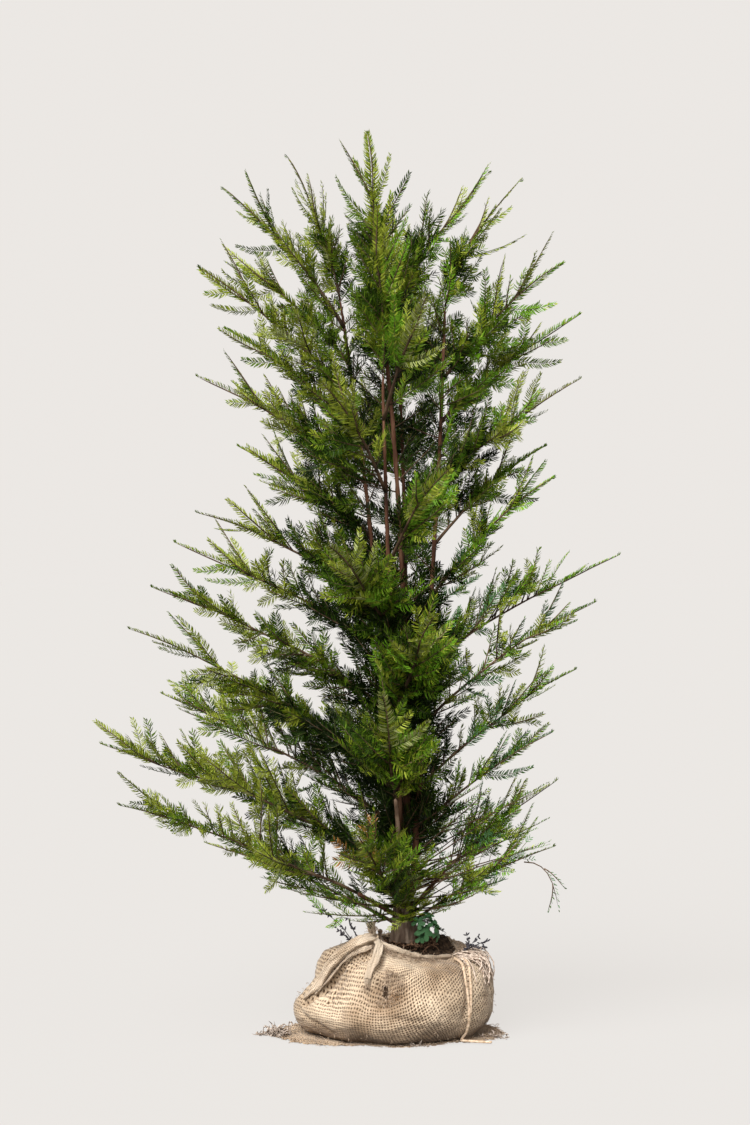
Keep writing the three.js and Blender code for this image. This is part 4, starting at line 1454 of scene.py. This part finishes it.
# Extra sprays that go on past the last of the rule's, by this share of the branch.
furtherOut = {"left_11": 0.14, "left_12": 0.16, "left_13": 0.16, "left_14": 0.1}


# Sprays reach less the nearer they stand to the branch's end, so that its lead stands clear.
def sprayLength(own, share, draw):
    lengthShare = spray["topLengthShare"] if own["atEnd"] else spray["lengthShare"]
    length = lengthShare * own["length"] * (1 - share) * between((0.85, 1.15), draw)
    return min(max(length, spray["shortest"]), spray["longest"])


def lastSpray(own, start):
    lead = spray["topLead"] if own["atEnd"] else spray["lead"]
    return max(1 - lead / own["length"], start + (1 - start) * spray["leastReach"])


# A slow wander of all that is thin, so that no twig is dead straight. It fades out near the limbs.
sway = {"reach": 7, "wave": (240, 130), "fadeFrom": 25, "fadeTo": 150}


def swayed(points):
    shape = points.shape
    flat = points.reshape(-1, 3)
    rng = np.random.default_rng(77)
    moved = np.zeros_like(flat)
    for wave in sway["wave"]:
        for _ in range(3):
            waveTurn = unit(rng.normal(0, 1, 3)) * 2 * math.pi / wave
            push = unit(rng.normal(0, 1, 3)) * sway["reach"] * 0.5 * wave / sway["wave"][0]
            moved += np.sin(flat @ waveTurn + rng.uniform(0, 6.3))[:, None] * push
    gaps = groupDistances(flat, limbStarts, limbRuns).min(1)
    fade = np.clip((gaps - sway["fadeFrom"]) / (sway["fadeTo"] - sway["fadeFrom"]), 0, 1)
    return (flat + moved * fade[:, None]).reshape(shape)


# What grows: lines of wood for branches and twigs, and shoots that bear needles.
wood = {"branch": [], "branchRadius": [], "twig": [], "twigRadius": []}
plainShoot = {
    "from": 0.04,  # share of its length that bears no needles
    "size": finer["needleLength"],
    "radius": 0.85,
    "raised": 20,  # degrees that its needles stand over it
    "thinning": 0.1,
    "dense": 1.0,
}
shootStore = {key: [] for key in ("start", "bend", "end", "lift", "colour", *plainShoot)}
colourNames = list(needleColours)
# A lighter and a darker tone next to each, for some of a spray's side shoots and needles.
nearTones = {
    "deep": ("shade", "deep"),
    "shade": ("leaf", "deep"),
    "leaf": ("olive", "shade"),
    "olive": ("fresh", "leaf"),
    "fresh": ("sage", "olive"),
    "sage": ("fresh", "olive"),
    "bright": ("fresh", "leaf"),
    "lime": ("fresh", "bright"),
    "blue": ("bright", "shade"),
    "rust": ("olive", "shade"),
}


def variedTones(colour, count, rng):
    lighter, darker = nearTones[colour]
    chances = rng.uniform(0, 1, count)
    return [lighter if chance < 0.2 else darker if chance > 0.8 else colour for chance in chances]


def storeShoots(starts, bends, ends, lifts, colours, **unlike):
    rows = {"start": starts, "bend": bends, "end": ends, "lift": lifts}
    rows["colour"] = np.array([colourNames.index(colour) for colour in colours])
    for key, value in {**plainShoot, **unlike}.items():
        rows[key] = np.full(len(starts), value)
    for key, value in rows.items():
        shootStore[key].append(value)


def storeShoot(path, lift, colour, **unlike):
    storeShoots(*[stop[None] for stop in path], lift, [colour], **unlike)


# One twig, with needles of its own.
def growTwig(path, radii, lift, colour, **unlike):
    wood["twig"].append(onBezier(path, np.linspace(0, 1, 7)))
    wood["twigRadius"].append(radii)
    storeShoot(path, lift, colour, **unlike)


# The face of a flat shoot looks up where it lies level, and outwards where it stands.
def faceOf(points, runs):
    outward = points * (1, 1, 0) - np.array([20.0, 0, 0])
    wanted = unit(outward) + np.array([0, 0, 0.75])
    return unit(wanted - runs * (wanted * runs).sum(1, keepdims=True))


def faceAtTip(path, start=0):
    return faceOf(path[2][None], unit(path[2] - path[start])[None])


def nearestBranch(point):
    return int(np.argmin(groupDistances(point[None], lineStarts, lineRuns)[0]))


# Colours are dealt out by spray: dark inside the crown as painted shade, yellower and lighter at its top and
# outside, partly as fresh growth and partly as painted light, bluer low down at the right, with a little
# dying rust low in front. Each row is the chance below which a tone falls.
crown = {
    "middleX": 10,
    "topRadius": 120,
    "widening": 0.3,
    "radius": 420,
    "top": 1821,
    "darkBelow": 1420,
    "core": 0.4,  # of the crown's own radius
    "inner": 0.66,
    "rust": {"x": (-190, -40), "z": (330, 560), "y": -130, "chance": 0.3},
    "lowRight": {"x": 110, "z": 1050},
    "bright": {"x": -40, "out": 0.3, "chance": 0.4},
}
crownTones = {
    "lowRight": [(0.3, "blue"), (0.6, "leaf"), (0.8, "bright"), (1, "olive")],
    "core": [(0.75, "deep"), (1, "shade")],
    "inner": [(0.12, "deep"), (0.45, "shade"), (0.8, "leaf"), (1, "olive")],
    "outer": [(0.36, "leaf"), (0.76, "olive"), (0.92, "fresh"), (1, "sage")],
}


def toneFrom(key, chance):
    return next(tone for below, tone in crownTones[key] if chance < below)


def colourOf(middle, draw):
    x, y, z = middle
    radius = min(crown["topRadius"] + crown["widening"] * (crown["top"] - z), crown["radius"])
    out = math.hypot(x - crown["middleX"], y) / radius
    chance = draw()
    rust, lowRight, bright = crown["rust"], crown["lowRight"], crown["bright"]
    inRust = rust["x"][0] < x < rust["x"][1] and rust["z"][0] < z < rust["z"][1] and y < rust["y"]
    if inRust and chance < rust["chance"]:
        return "rust"
    if x > lowRight["x"] and z < lowRight["z"]:
        return toneFrom("lowRight", chance)
    if x > bright["x"] and out > bright["out"] and chance < bright["chance"]:
        return "bright"
    # the core and inner rows paint shade into the crown's inside; the outer row is partly painted light
    isCore = out < crown["core"] and z < crown["darkBelow"]
    return toneFrom("core" if isCore else "inner" if out < crown["inner"] else "outer", draw())


def rotateAbout(vectors, axes, angle):
    angle = np.asarray(angle)[..., None]
    return (
        vectors * np.cos(angle)
        + np.cross(axes, vectors) * np.sin(angle)
        + axes * (axes * vectors).sum(-1, keepdims=True) * (1 - np.cos(angle))
    )


# Side shoots along a twig, alternating left and right, each a comb of its own.
def growShoots(path, fromShare, toShare, length, tilt, index, colour, rng, pitch, **unlike):
    count = max(1, round(length * (toShare - fromShare) / pitch))
    shares = fromShare + (toShare - fromShare) * (np.arange(count) + rng.uniform(0.1, 0.7, count)) / count
    points = onBezier(path, shares)
    runs = unit(onBezier(path, np.minimum(shares + 0.01, 1)) - onBezier(path, shares - 0.01))
    lifts = rotateAbout(faceOf(points, runs), runs, np.full(count, tilt))
    sides = np.cross(runs, lifts)
    hands = np.where((np.arange(count) + rng.integers(2)) % 2, 1.0, -1.0)[:, None]
    spread = np.radians(rng.uniform(*finer["shootSpread"], count))[:, None]
    reach = finer["shootShare"] * length * (1 - shares) * rng.uniform(0.75, 1.2, count)
    reach = np.maximum(reach, finer["shortestShoot"] * rng.uniform(0.8, 1.4, count))[:, None]
    direction = runs * np.cos(spread) + sides * hands * np.sin(spread)
    direction = direction + lifts * rng.normal(0.12, 0.24, (count, 1))
    ends = points + unit(direction) * reach
    bends = points + unit(direction - runs * 0.3) * reach * 0.5
    ends[:, 2] += 0.08 * reach[:, 0]
    inside = isInside(ends, index, 0.0, 2.0)
    shortEnds = points + (ends - points) * 0.6
    ends = np.where(inside[:, None], ends, shortEnds)
    bends = np.where(inside[:, None], bends, points + (bends - points) * 0.6)
    kept = inside | isInside(shortEnds, index, -2.0, 1.0)
    if kept.any():
        shootLifts = unit(lifts + rng.normal(0, 0.3, lifts.shape))
        tones = variedTones(colour, int(kept.sum()), rng)
        storeShoots(points[kept], bends[kept], ends[kept], shootLifts[kept], tones, **unlike)


# Openings in the crown: across from and to, up from and to, how far back they begin, and the share of
# growth left out. The stems show through the first, and the sky through the others.
openings = [
    (-64, 32, 960, 1345, -12, 0.93),
    (72, 150, 962, 1060, math.inf, 0.8),
    (-250, -160, 965, 1030, math.inf, 0.7),
    (-400, -290, 745, 815, math.inf, 0.6),
    (105, 190, 470, 560, math.inf, 0.6),
    (100, 185, 575, 760, math.inf, 0.3),
    (62, 180, 285, 460, math.inf, 0.35),
    (34, 140, 222, 335, math.inf, 0.8),
    (-140, 4, 222, 335, math.inf, 0.8),
]


def isInOpening(path, draw):
    x, y, z = onBezier(path, np.array([0.35, 0.7, 1.0])).T
    for left, right, foot, top, back, leftOut in openings:
        over = (x > left) & (x < right) & (z > foot) & (z < top) & (y < back)
        if over.any() and draw() < leftOut:
            return True
    return False


def growSpray(twig, index, draw, rng, bareShare):
    path, length = twig["path"], twig["length"]
    middle = onBezier(path, 0.7)
    if isInOpening(path, draw):
        return
    colour = colourOf(middle, draw)
    radii = np.linspace(1.6, 0.7, 7) * min(1.0, 0.5 + length / 200)
    run = unit(path[2] - path[0])[None]
    tilt = math.radians(rng.normal(0, 32))
    lift = rotateAbout(faceOf(middle[None], run), run, np.array([tilt]))
    outer = min(1.0, abs(middle[0] - crown["middleX"]) / 260)
    size = finer["needleLength"] * (1.04 - 0.2 * outer) * (0.8 if bareShare > 0.3 else 1)
    own = {"from": max(0.1, bareShare), "radius": 0.9, "size": size}
    growTwig(path, radii, lift, colour, raised=rng.uniform(8, 34), thinning=rng.uniform(0, 0.3), **own)
    footShare = max(0.12, bareShare)
    growShoots(path, footShare, 0.82, length, tilt, index, colour, rng, finer["shootPitch"], size=size)


# The clear end of a branch: one comb with its needles raised, a few side shoots at its foot.
lead = {
    "needle": 19.0,
    "slightNeedle": 16.0,
    "frontNeedle": 25.0,
    "dense": 1.1,
    "topDense": 1.35,
    "bareBelow": 900,  # the low branches at the right are slight, and bare at their foot
}
bareTip = {"from": 0.0, "radius": 0.0}


def isSlight(own):
    return own["name"].startswith("right") and own["path"][0][2] < lead["bareBelow"]


def growLead(own, index, fromShare, draw, rng):
    path = own["path"]
    colour = "olive" if own["atEnd"] else colourOf(onBezier(path, 0.85), draw)
    foot, tip = onBezier(path, fromShare), onBezier(path, 1.0)
    bend = 2 * onBezier(path, (fromShare + 1) / 2) - (foot + tip) / 2
    run = unit(tip - foot)
    raised, thinning = (12, 0.35) if own["atEnd"] else (rng.uniform(34, 64), rng.uniform(0.3, 0.5))
    lift = faceOf(tip[None], run[None])
    tall = own["name"] == "top_leader"
    facing = own["name"].startswith("front")
    if tall or facing:
        lift = np.array([[0.0, -1.0, 0.0]])
    if facing:
        raised, thinning, colour = 14, 0.25, "fresh" if draw() < 0.6 else "sage"
    size = lead["frontNeedle" if tall or facing else "slightNeedle" if isSlight(own) else "needle"]
    dense = lead["topDense" if tall else "dense"]
    shape = {"raised": raised, "thinning": thinning, "size": size, "dense": dense}
    storeShoot((foot, bend, tip), lift, colour, **shape, **bareTip)
    tuftFoot = tip - run * 5
    storeShoot((tuftFoot, tuftFoot + run * 3, tip + run), lift, "leaf", raised=70, size=9.0, **bareTip)
    tilt = math.radians(rng.uniform(-40, 40))
    size = 15.0 if isSlight(own) else 18.0
    toShare = fromShare + (1 - fromShare) * 0.5
    growShoots(path, fromShare, toShare, own["length"], tilt, index, colour, rng, 34, thinning=0.4, size=size)


# A second, shorter lead beside a branch's own.
def growFork(twig, index, draw, rng):
    path = twig["path"]
    colour = colourOf(onBezier(path, 0.9), draw)
    own = {"from": 0.08, "radius": 0.8, "raised": rng.uniform(20, 50), "thinning": rng.uniform(0.25, 0.5)}
    growTwig(path, np.linspace(1.7, 0.7, 7), faceAtTip(path), colour, size=18.5, **own)
    if twig["length"] > 90:
        growShoots(path, 0.15, 0.5, twig["length"], 0.0, index, colour, rng, 50, thinning=0.4, size=17.0)


def growBranch(own, index):
    draw = makeRandom(index + 1)
    start = own["bare"] + endClearance / own["length"] if own["bare"] else 0.0
    path = own["path"]
    rng = np.random.default_rng(1000 + index)
    shares = np.linspace(start, 1, 15)
    wood["branch"].append(onBezier(path, shares))
    slim = 0.7 if own["name"].startswith("right") else 0.85
    wood["branchRadius"].append(branchRadius(own, shares) * slim * (1 - 0.25 * shares))
    bladeStart = 1 - spray["tipShare"] * (1 - start)
    placed = [np.array([onBezier(path, bladeStart + (1 - bladeStart) * share) for share in (0.25, 1.0)])]
    first, last = start + (1 - start) * spray["first"], lastSpray(own, start)
    count = max(4, round(own["length"] * (last - first) / spray["spacing"]))
    twigs = []
    for number in range(count):
        share = first + (last - first) * (number + 0.3 * draw()) / count
        wanted = sprayLength(own, share, draw)
        hand = 1 if number % 2 else -1
        twigs.append(placeSpray(own, index, share, hand, draw, placed, wanted, spray["clearance"], 0.8))
    more = makeRandom(index + 201)
    for number in range(fewForks.get(own["name"], finer["forks"])):
        wanted = finer["forkShare"] * own["length"] * (1 - last) * between((0.45, 1.3), more)
        foot = last + (1 - last) * between((-0.15, 0.4), more)
        hand = 1 if number % 2 else -1
        fork = placeSpray(own, index, foot, hand, more, placed, wanted, finer["forkClearance"], 0.3,
                          finer["forkSpread"], finer["forkRoll"])
        if fork:
            growFork(fork, index, more, rng)
    extra = round(count * finer["extraPerSpray"] * slighter.get(own["name"], 1) ** 0.5)
    foot = 0.05 if own["name"] in leafyBoughs else first
    reach = last - foot + furtherOut.get(own["name"], 0)
    for number in range(extra):
        share = foot + reach * (number + more()) / extra
        wanted = sprayLength(own, share, more) * between(finer["extraLength"], more)
        wanted = max(wanted * slighter.get(own["name"], 1), finer["shortestExtra"])
        hand = 1 if number % 2 else -1
        twigs.append(placeSpray(own, index, share, hand, more, placed, wanted, finer["extraClearance"], 0.4,
                                rolls=turned.get(own["name"], spray["roll"])))
    for twig in twigs:
        if twig:
            growSpray(twig, index, more, rng, 0.34 if isSlight(own) else 0.12)
    growLead(own, index, last, more, rng)


# Short sprays straight from the stems, each in the space of the branch nearest to it.
stemSprays = {
    "spacing": 14,
    "from": 0.06,  # of the stem's height
    "spread": (35, 75),
    "length": (70, 150),
    "tries": 8,
    "fullBelow": 1250,
    "noneAbove": 1800,
}


def growStemSprays(name, seed):
    draw = makeRandom(seed)
    rng = np.random.default_rng(seed)
    path = limbs[name]["path"]
    length = np.linalg.norm(np.diff(onBezier(path, np.linspace(0, 1, 60)), axis=0), axis=1).sum()
    count = round(length / stemSprays["spacing"])
    for number in range(count):
        share = stemSprays["from"] + (1 - stemSprays["from"]) * (number + draw()) / count
        point, run, side, lift = frameAt(path, share)
        low, high = stemSprays["fullBelow"], stemSprays["noneAbove"]
        shorter = min(1.0, (high - point[2]) / (high - low))
        for _ in range(stemSprays["tries"]):
            turn = 2 * math.pi * draw()
            spread = math.radians(between(stemSprays["spread"], draw))
            size = between(stemSprays["length"], draw) * shorter
            outward = side * math.cos(turn) + lift * math.sin(turn)
            direction = run * math.cos(spread) + outward * math.sin(spread)
            end = point + direction * size + (0, 0, 10)
            twigPath = [point, point + direction * size * 0.5, end]
            stops = onBezier(twigPath, np.array([0.4, 0.7, 1.0]))
            nearest = nearestBranch(stops[1])
            if isInside(stops[1:], nearest, -12.0, 3.0).all():
                growSpray({"path": twigPath, "length": size}, nearest, draw, rng, 0.1)
                break


# Young shoots low on the bole.
lowShoots = {
    "count": 40,
    "height": (228, 330),
    "turns": (205, 340),
    "length": (50, 105),
    "rise": (-0.35, 0.9),
    "colours": ("lime", "fresh", "bright"),
    "needle": 14.0,
    "seed": 401,
}


def growLowShoots():
    draw = makeRandom(lowShoots["seed"])
    rng = np.random.default_rng(lowShoots["seed"])
    for _ in range(lowShoots["count"]):
        out = onRing(1.0, math.radians(between(lowShoots["turns"], draw)), 0.0)
        foot = np.array([bole["x"], 0, between(lowShoots["height"], draw)]) + out * bole["radius"] * 0.8
        size = between(lowShoots["length"], draw)
        way = unit(out + np.array([0, 0, between(lowShoots["rise"], draw)]))
        path = [foot, foot + way * size * 0.5, foot + way * size + (0, 0, size * 0.2)]
        colour = lowShoots["colours"][int(draw() * 2.8)]
        own = {"raised": rng.uniform(0, 30), "size": lowShoots["needle"]}
        growTwig(path, np.linspace(1.3, 0.7, 7), faceAtTip(path), colour, radius=0.8, **own)
        nearest = nearestBranch(path[2])
        growShoots(path, 0.2, 0.8, size, 0.0, nearest, colour, rng, 22, size=lowShoots["needle"])


# Twigs that leave the bole low down and hang out over the rim.
overRim = {
    "twigs": [
        [(8, -14, 252), (-110, -66, 262), (-232, -92, 304)],
        [(6, -18, 240), (-86, -84, 236), (-182, -128, 258)],
        [(4, 10, 246), (-96, 52, 244), (-214, 74, 276)],
        [(14, -20, 236), (-34, -92, 228), (-84, -140, 240)],
        [(38, -12, 248), (104, -62, 252), (176, -92, 292)],
    ],
    "bare": 0.3,
    "needle": 13.0,
    "seed": 402,
}


def growOverRim():
    rng = np.random.default_rng(overRim["seed"])
    bare, size = overRim["bare"], overRim["needle"]
    for controls in overRim["twigs"]:
        path = [np.array(stop, float) for stop in controls]
        length = np.linalg.norm(path[2] - path[0])
        nearest = nearestBranch(onBezier(path, 0.7))
        own = {"from": bare, "radius": 0.0, "raised": 30, "size": size, "dense": 0.8}
        growTwig(path, np.linspace(1.8, 0.7, 7), faceAtTip(path, 1), "leaf", **own)
        for colour in ("leaf", "bright"):
            growShoots(path, bare, 0.85, length, rng.normal(0, 0.5), nearest, colour, rng, 44, size=size)


# Thin twigs at the lower right that are bare for most of their length.
bareFan = {
    "count": 22,
    "foot": ((24, 42), (-46, 30), (232, 420)),
    "tip": ((140, 320), (-170, 40), (40, 150)),  # the last is above the foot
    "bow": (-26, 6),
    "bare": 0.62,
    "needle": 11.0,
    "seed": 403,
}


def growBareFan():
    draw = makeRandom(bareFan["seed"])
    rng = np.random.default_rng(bareFan["seed"])
    own = {"from": bareFan["bare"], "size": bareFan["needle"]}
    for _ in range(bareFan["count"]):
        foot = np.array([between(limits, draw) for limits in bareFan["foot"]])
        tip = np.array([between(limits, draw) for limits in bareFan["tip"]]) + (0, 0, foot[2])
        path = [foot, (foot + tip) / 2 + (0, 0, between(bareFan["bow"], draw)), tip]
        length = np.linalg.norm(tip - foot)
        nearest = nearestBranch(onBezier(path, 0.7))
        growTwig(path, np.linspace(1.7, 0.7, 7), faceAtTip(path, 1), "bright", radius=0.0, raised=30,
                 dense=0.6, **own)
        growShoots(path, 0.3, 0.9, length * 0.7, rng.normal(0, 0.6), nearest, "blue", rng, 34, radius=0.8,
                   dense=0.5, **own)


# One thin twig that droops at the lower right: each part's line, and the share of it that is bare.
droopingTwig = {
    "parts": [
        ([(262, -96, 350), (318, -118, 352), (330, -112, 262)], 0.45),
        ([(300, -110, 338), (318, -112, 330), (342, -112, 300)], 0.3),
        ([(318, -114, 310), (322, -112, 290), (308, -110, 258)], 0.3),
    ],
    "needle": 10.0,
}


def growDroopingTwig():
    for controls, bare in droopingTwig["parts"]:
        path = [np.array(stop, float) for stop in controls]
        own = {"from": bare, "radius": 0.0, "raised": 35, "size": droopingTwig["needle"], "dense": 0.4}
        growTwig(path, np.linspace(1.3, 0.6, 7), faceAtTip(path), "blue", **own)


for branchIndex, ownBranch in enumerate(branches):
    growBranch(ownBranch, branchIndex)
for stemIndex, stemName in enumerate(stems):
    growStemSprays(stemName, 301 + stemIndex)
growLowShoots()
growOverRim()
growBareFan()
growDroopingTwig()
shoots = {key: np.concatenate(values) for key, values in shootStore.items()}
for key in ("start", "bend", "end"):
    shoots[key] = swayed(shoots[key])
print("branches grown:", len(wood["twig"]), "twigs,", len(shoots["start"]), "shoots")


# Needles in two ranks along every shoot, raised over it, shorter towards both ends.
def needleArrays(shoots, rng):
    start, bend, end = shoots["start"], shoots["bend"], shoots["end"]
    length = np.linalg.norm(bend - start, axis=1) + np.linalg.norm(end - bend, axis=1)
    counts = length * (1 - shoots["from"]) / needle["pitch"] * shoots["dense"]
    counts = np.maximum(6, counts.astype(int))
    owner = np.repeat(np.arange(len(start)), counts)
    own = {key: values[owner] for key, values in shoots.items()}
    number = np.arange(counts.sum()) - np.repeat(np.cumsum(counts) - counts, counts)
    local = (number + rng.uniform(0.1, 0.9, len(owner))) / counts[owner]
    t = (own["from"] + (1 - own["from"]) * local)[:, None]
    a, b, c = own["start"], own["bend"], own["end"]
    points = a * (1 - t) ** 2 + b * 2 * t * (1 - t) + c * t**2
    run = unit((b - a) * (1 - t) + (c - b) * t)
    side = unit(np.cross(run, own["lift"]))
    lift = np.cross(side, run)
    hand = np.where(number % 2, 1.0, -1.0)
    lean = needle["lean"] - needle["leanLessAtTip"] * local**2
    lean = np.radians(lean + rng.normal(0, needle["leanSpread"], len(owner)))
    raised = np.radians(own["raised"] + rng.normal(0, needle["raisedSpread"], len(owner)))
    # round a steep shoot they stand to all sides
    steep = (np.abs(run[:, 2]) > 0.93) & (own["dense"] == 1.0)
    raised = np.where(steep, np.radians(rng.uniform(-40, 75, len(owner))), raised)
    inPlane = side * (hand * np.cos(raised))[:, None] + lift * np.sin(raised)[:, None]
    heading = unit(run * np.cos(lean)[:, None] + inPlane * np.sin(lean)[:, None])
    size = own["size"] * (0.6 + 0.4 * np.sin(math.pi * np.clip(local * 0.9 + 0.14, 0, 1)) ** 0.6)
    size = size * (1 - own["thinning"] * local**1.4) * rng.uniform(0.9, 1.08, len(owner))
    across = unit(np.cross(heading, lift))
    normal = np.cross(across, heading)
    roll = rng.normal(0, needle["rollSpread"], len(owner))[:, None]
    across = across * np.cos(roll) + normal * np.sin(roll)
    normal = np.cross(across, heading)
    half = (needle["width"] / 2 * rng.uniform(0.85, 1.1, len(owner)))[:, None] * across
    step = size[:, None] * heading
    sag = size[:, None] * normal * rng.normal(0.05, 0.05, len(owner))[:, None]
    sweep = size[:, None] * run * needle["sweep"]
    low = points + step * 0.2 + sag * 0.6 - sweep * 0.5
    high = points + step * 0.74 + sag * 0.5 - sweep * 0.3
    tip = points + step - sag * 0.9 + sweep
    corners = [points, low - half, low + half, high - half * 0.85, high + half * 0.85, tip]
    tone = own["colour"]
    chance = rng.uniform(0, 1, len(owner))
    for column, picked in enumerate((chance < 0.14, chance > 0.84)):
        near = np.array([colourNames.index(nearTones[name][column]) for name in colourNames])
        tone = np.where(picked, near[tone], tone)
    return np.stack(corners, axis=1), tone


def buildNeedles():
    corners, colours = needleArrays(shoots, np.random.default_rng(5))
    pattern = np.array([[0, 2, 1], [1, 2, 4], [1, 4, 3], [3, 4, 5]])
    mostPerPiece = 48000
    massNames = ["mass_" + own["name"] for own in branches]
    for index, key in enumerate(colourNames):
        chosen = corners[colours == index]
        for part, low in enumerate(range(0, len(chosen), mostPerPiece)):
            few = chosen[low:low + mostPerPiece]
            faces = (pattern[None] + (np.arange(len(few)) * 6)[:, None, None]).reshape(-1, 3)
            name = f"needles_{key}_{part + 1}"
            piece = joinedMesh(name, few.reshape(-1, 3), faces)
            piece.data.shade_smooth()
            finishPiece(piece, name, key, massNames)
    print("needles:", len(corners))


def buildTwigs():
    controls = [shoots[key][:, None] for key in ("start", "bend", "end")]
    lines = onBezier(controls, np.linspace(0, 1, 4)[None])
    bearing = shoots["radius"] > 0
    radii = shoots["radius"][bearing][:, None] * np.array([1, 0.9, 0.75, 0.5])
    tubePiece("shoots", lines[bearing], radii, 3, "shootBark")
    for name, key, sides in (("twigs", "twig", 4), ("branchWood", "branch", 7)):
        radii = np.array(wood[key + "Radius"])
        tubePiece(name, swayed(np.array(wood[key])), radii, sides, "twigBark")


# Lobed leaves of a seedling that grows beside the bole. Each has its middle, the way that it faces and
# its radius.
seedling = {
    "foot": (44, -36, 186),
    "leaves": [
        ((66, -62, 214), (0.3, -0.8, 0.5), 19),
        ((84, -56, 226), (0.6, -0.6, 0.5), 16),
        ((52, -66, 232), (-0.2, -0.8, 0.5), 15),
        ((74, -60, 242), (0.2, -0.5, 0.85), 14),
        ((90, -48, 204), (0.7, -0.6, 0.1), 15),
        ((58, -58, 198), (0.0, -0.9, 0.2), 14),
    ],
    "lobes": 5,
    "stalk": 0.8,
}


def buildSeedling():
    rng = np.random.default_rng(91)
    foot = np.array(seedling["foot"], float)
    turns = np.linspace(math.radians(-155), math.radians(155), 61)
    points, faces, stalks = [], [], []
    for middle, facing, radius in seedling["leaves"]:
        middle, facing = np.array(middle, float), unit(np.array(facing, float) + rng.normal(0, 0.1, 3))
        tip = unit(middle - foot)
        tip = unit(tip - facing * (tip @ facing))
        side = np.cross(facing, tip)
        reach = radius * (0.5 + 0.5 * np.abs(np.cos(turns * seedling["lobes"] / 2 * 360 / 330)) ** 0.7)
        base = middle - tip * radius * 0.4
        edge = base + (reach * np.cos(turns))[:, None] * tip + (reach * np.sin(turns))[:, None] * side
        edge = edge - facing * (reach**2 / radius * 0.22)[:, None]
        first = sum(len(part) for part in points)
        points.append(np.concatenate([base[None], edge]))
        faces += [(first, first + 1 + corner, first + 2 + corner) for corner in range(len(turns) - 1)]
        stalks.append(onBezier([foot, (foot + base) / 2 + (0, 0, 8), base], np.linspace(0, 1, 7)))
    leaves = joinedMesh("seedlingLeaves", np.concatenate(points), np.array(faces))
    finishPiece(leaves, "seedlingLeaves", "seedling")
    radii = np.full((len(stalks), 7), seedling["stalk"])
    tubePiece("seedlingStalks", np.array(stalks), radii, 4, "twigBark")


buildNeedles()
buildTwigs()
buildSeedling()
print("foliage joined")
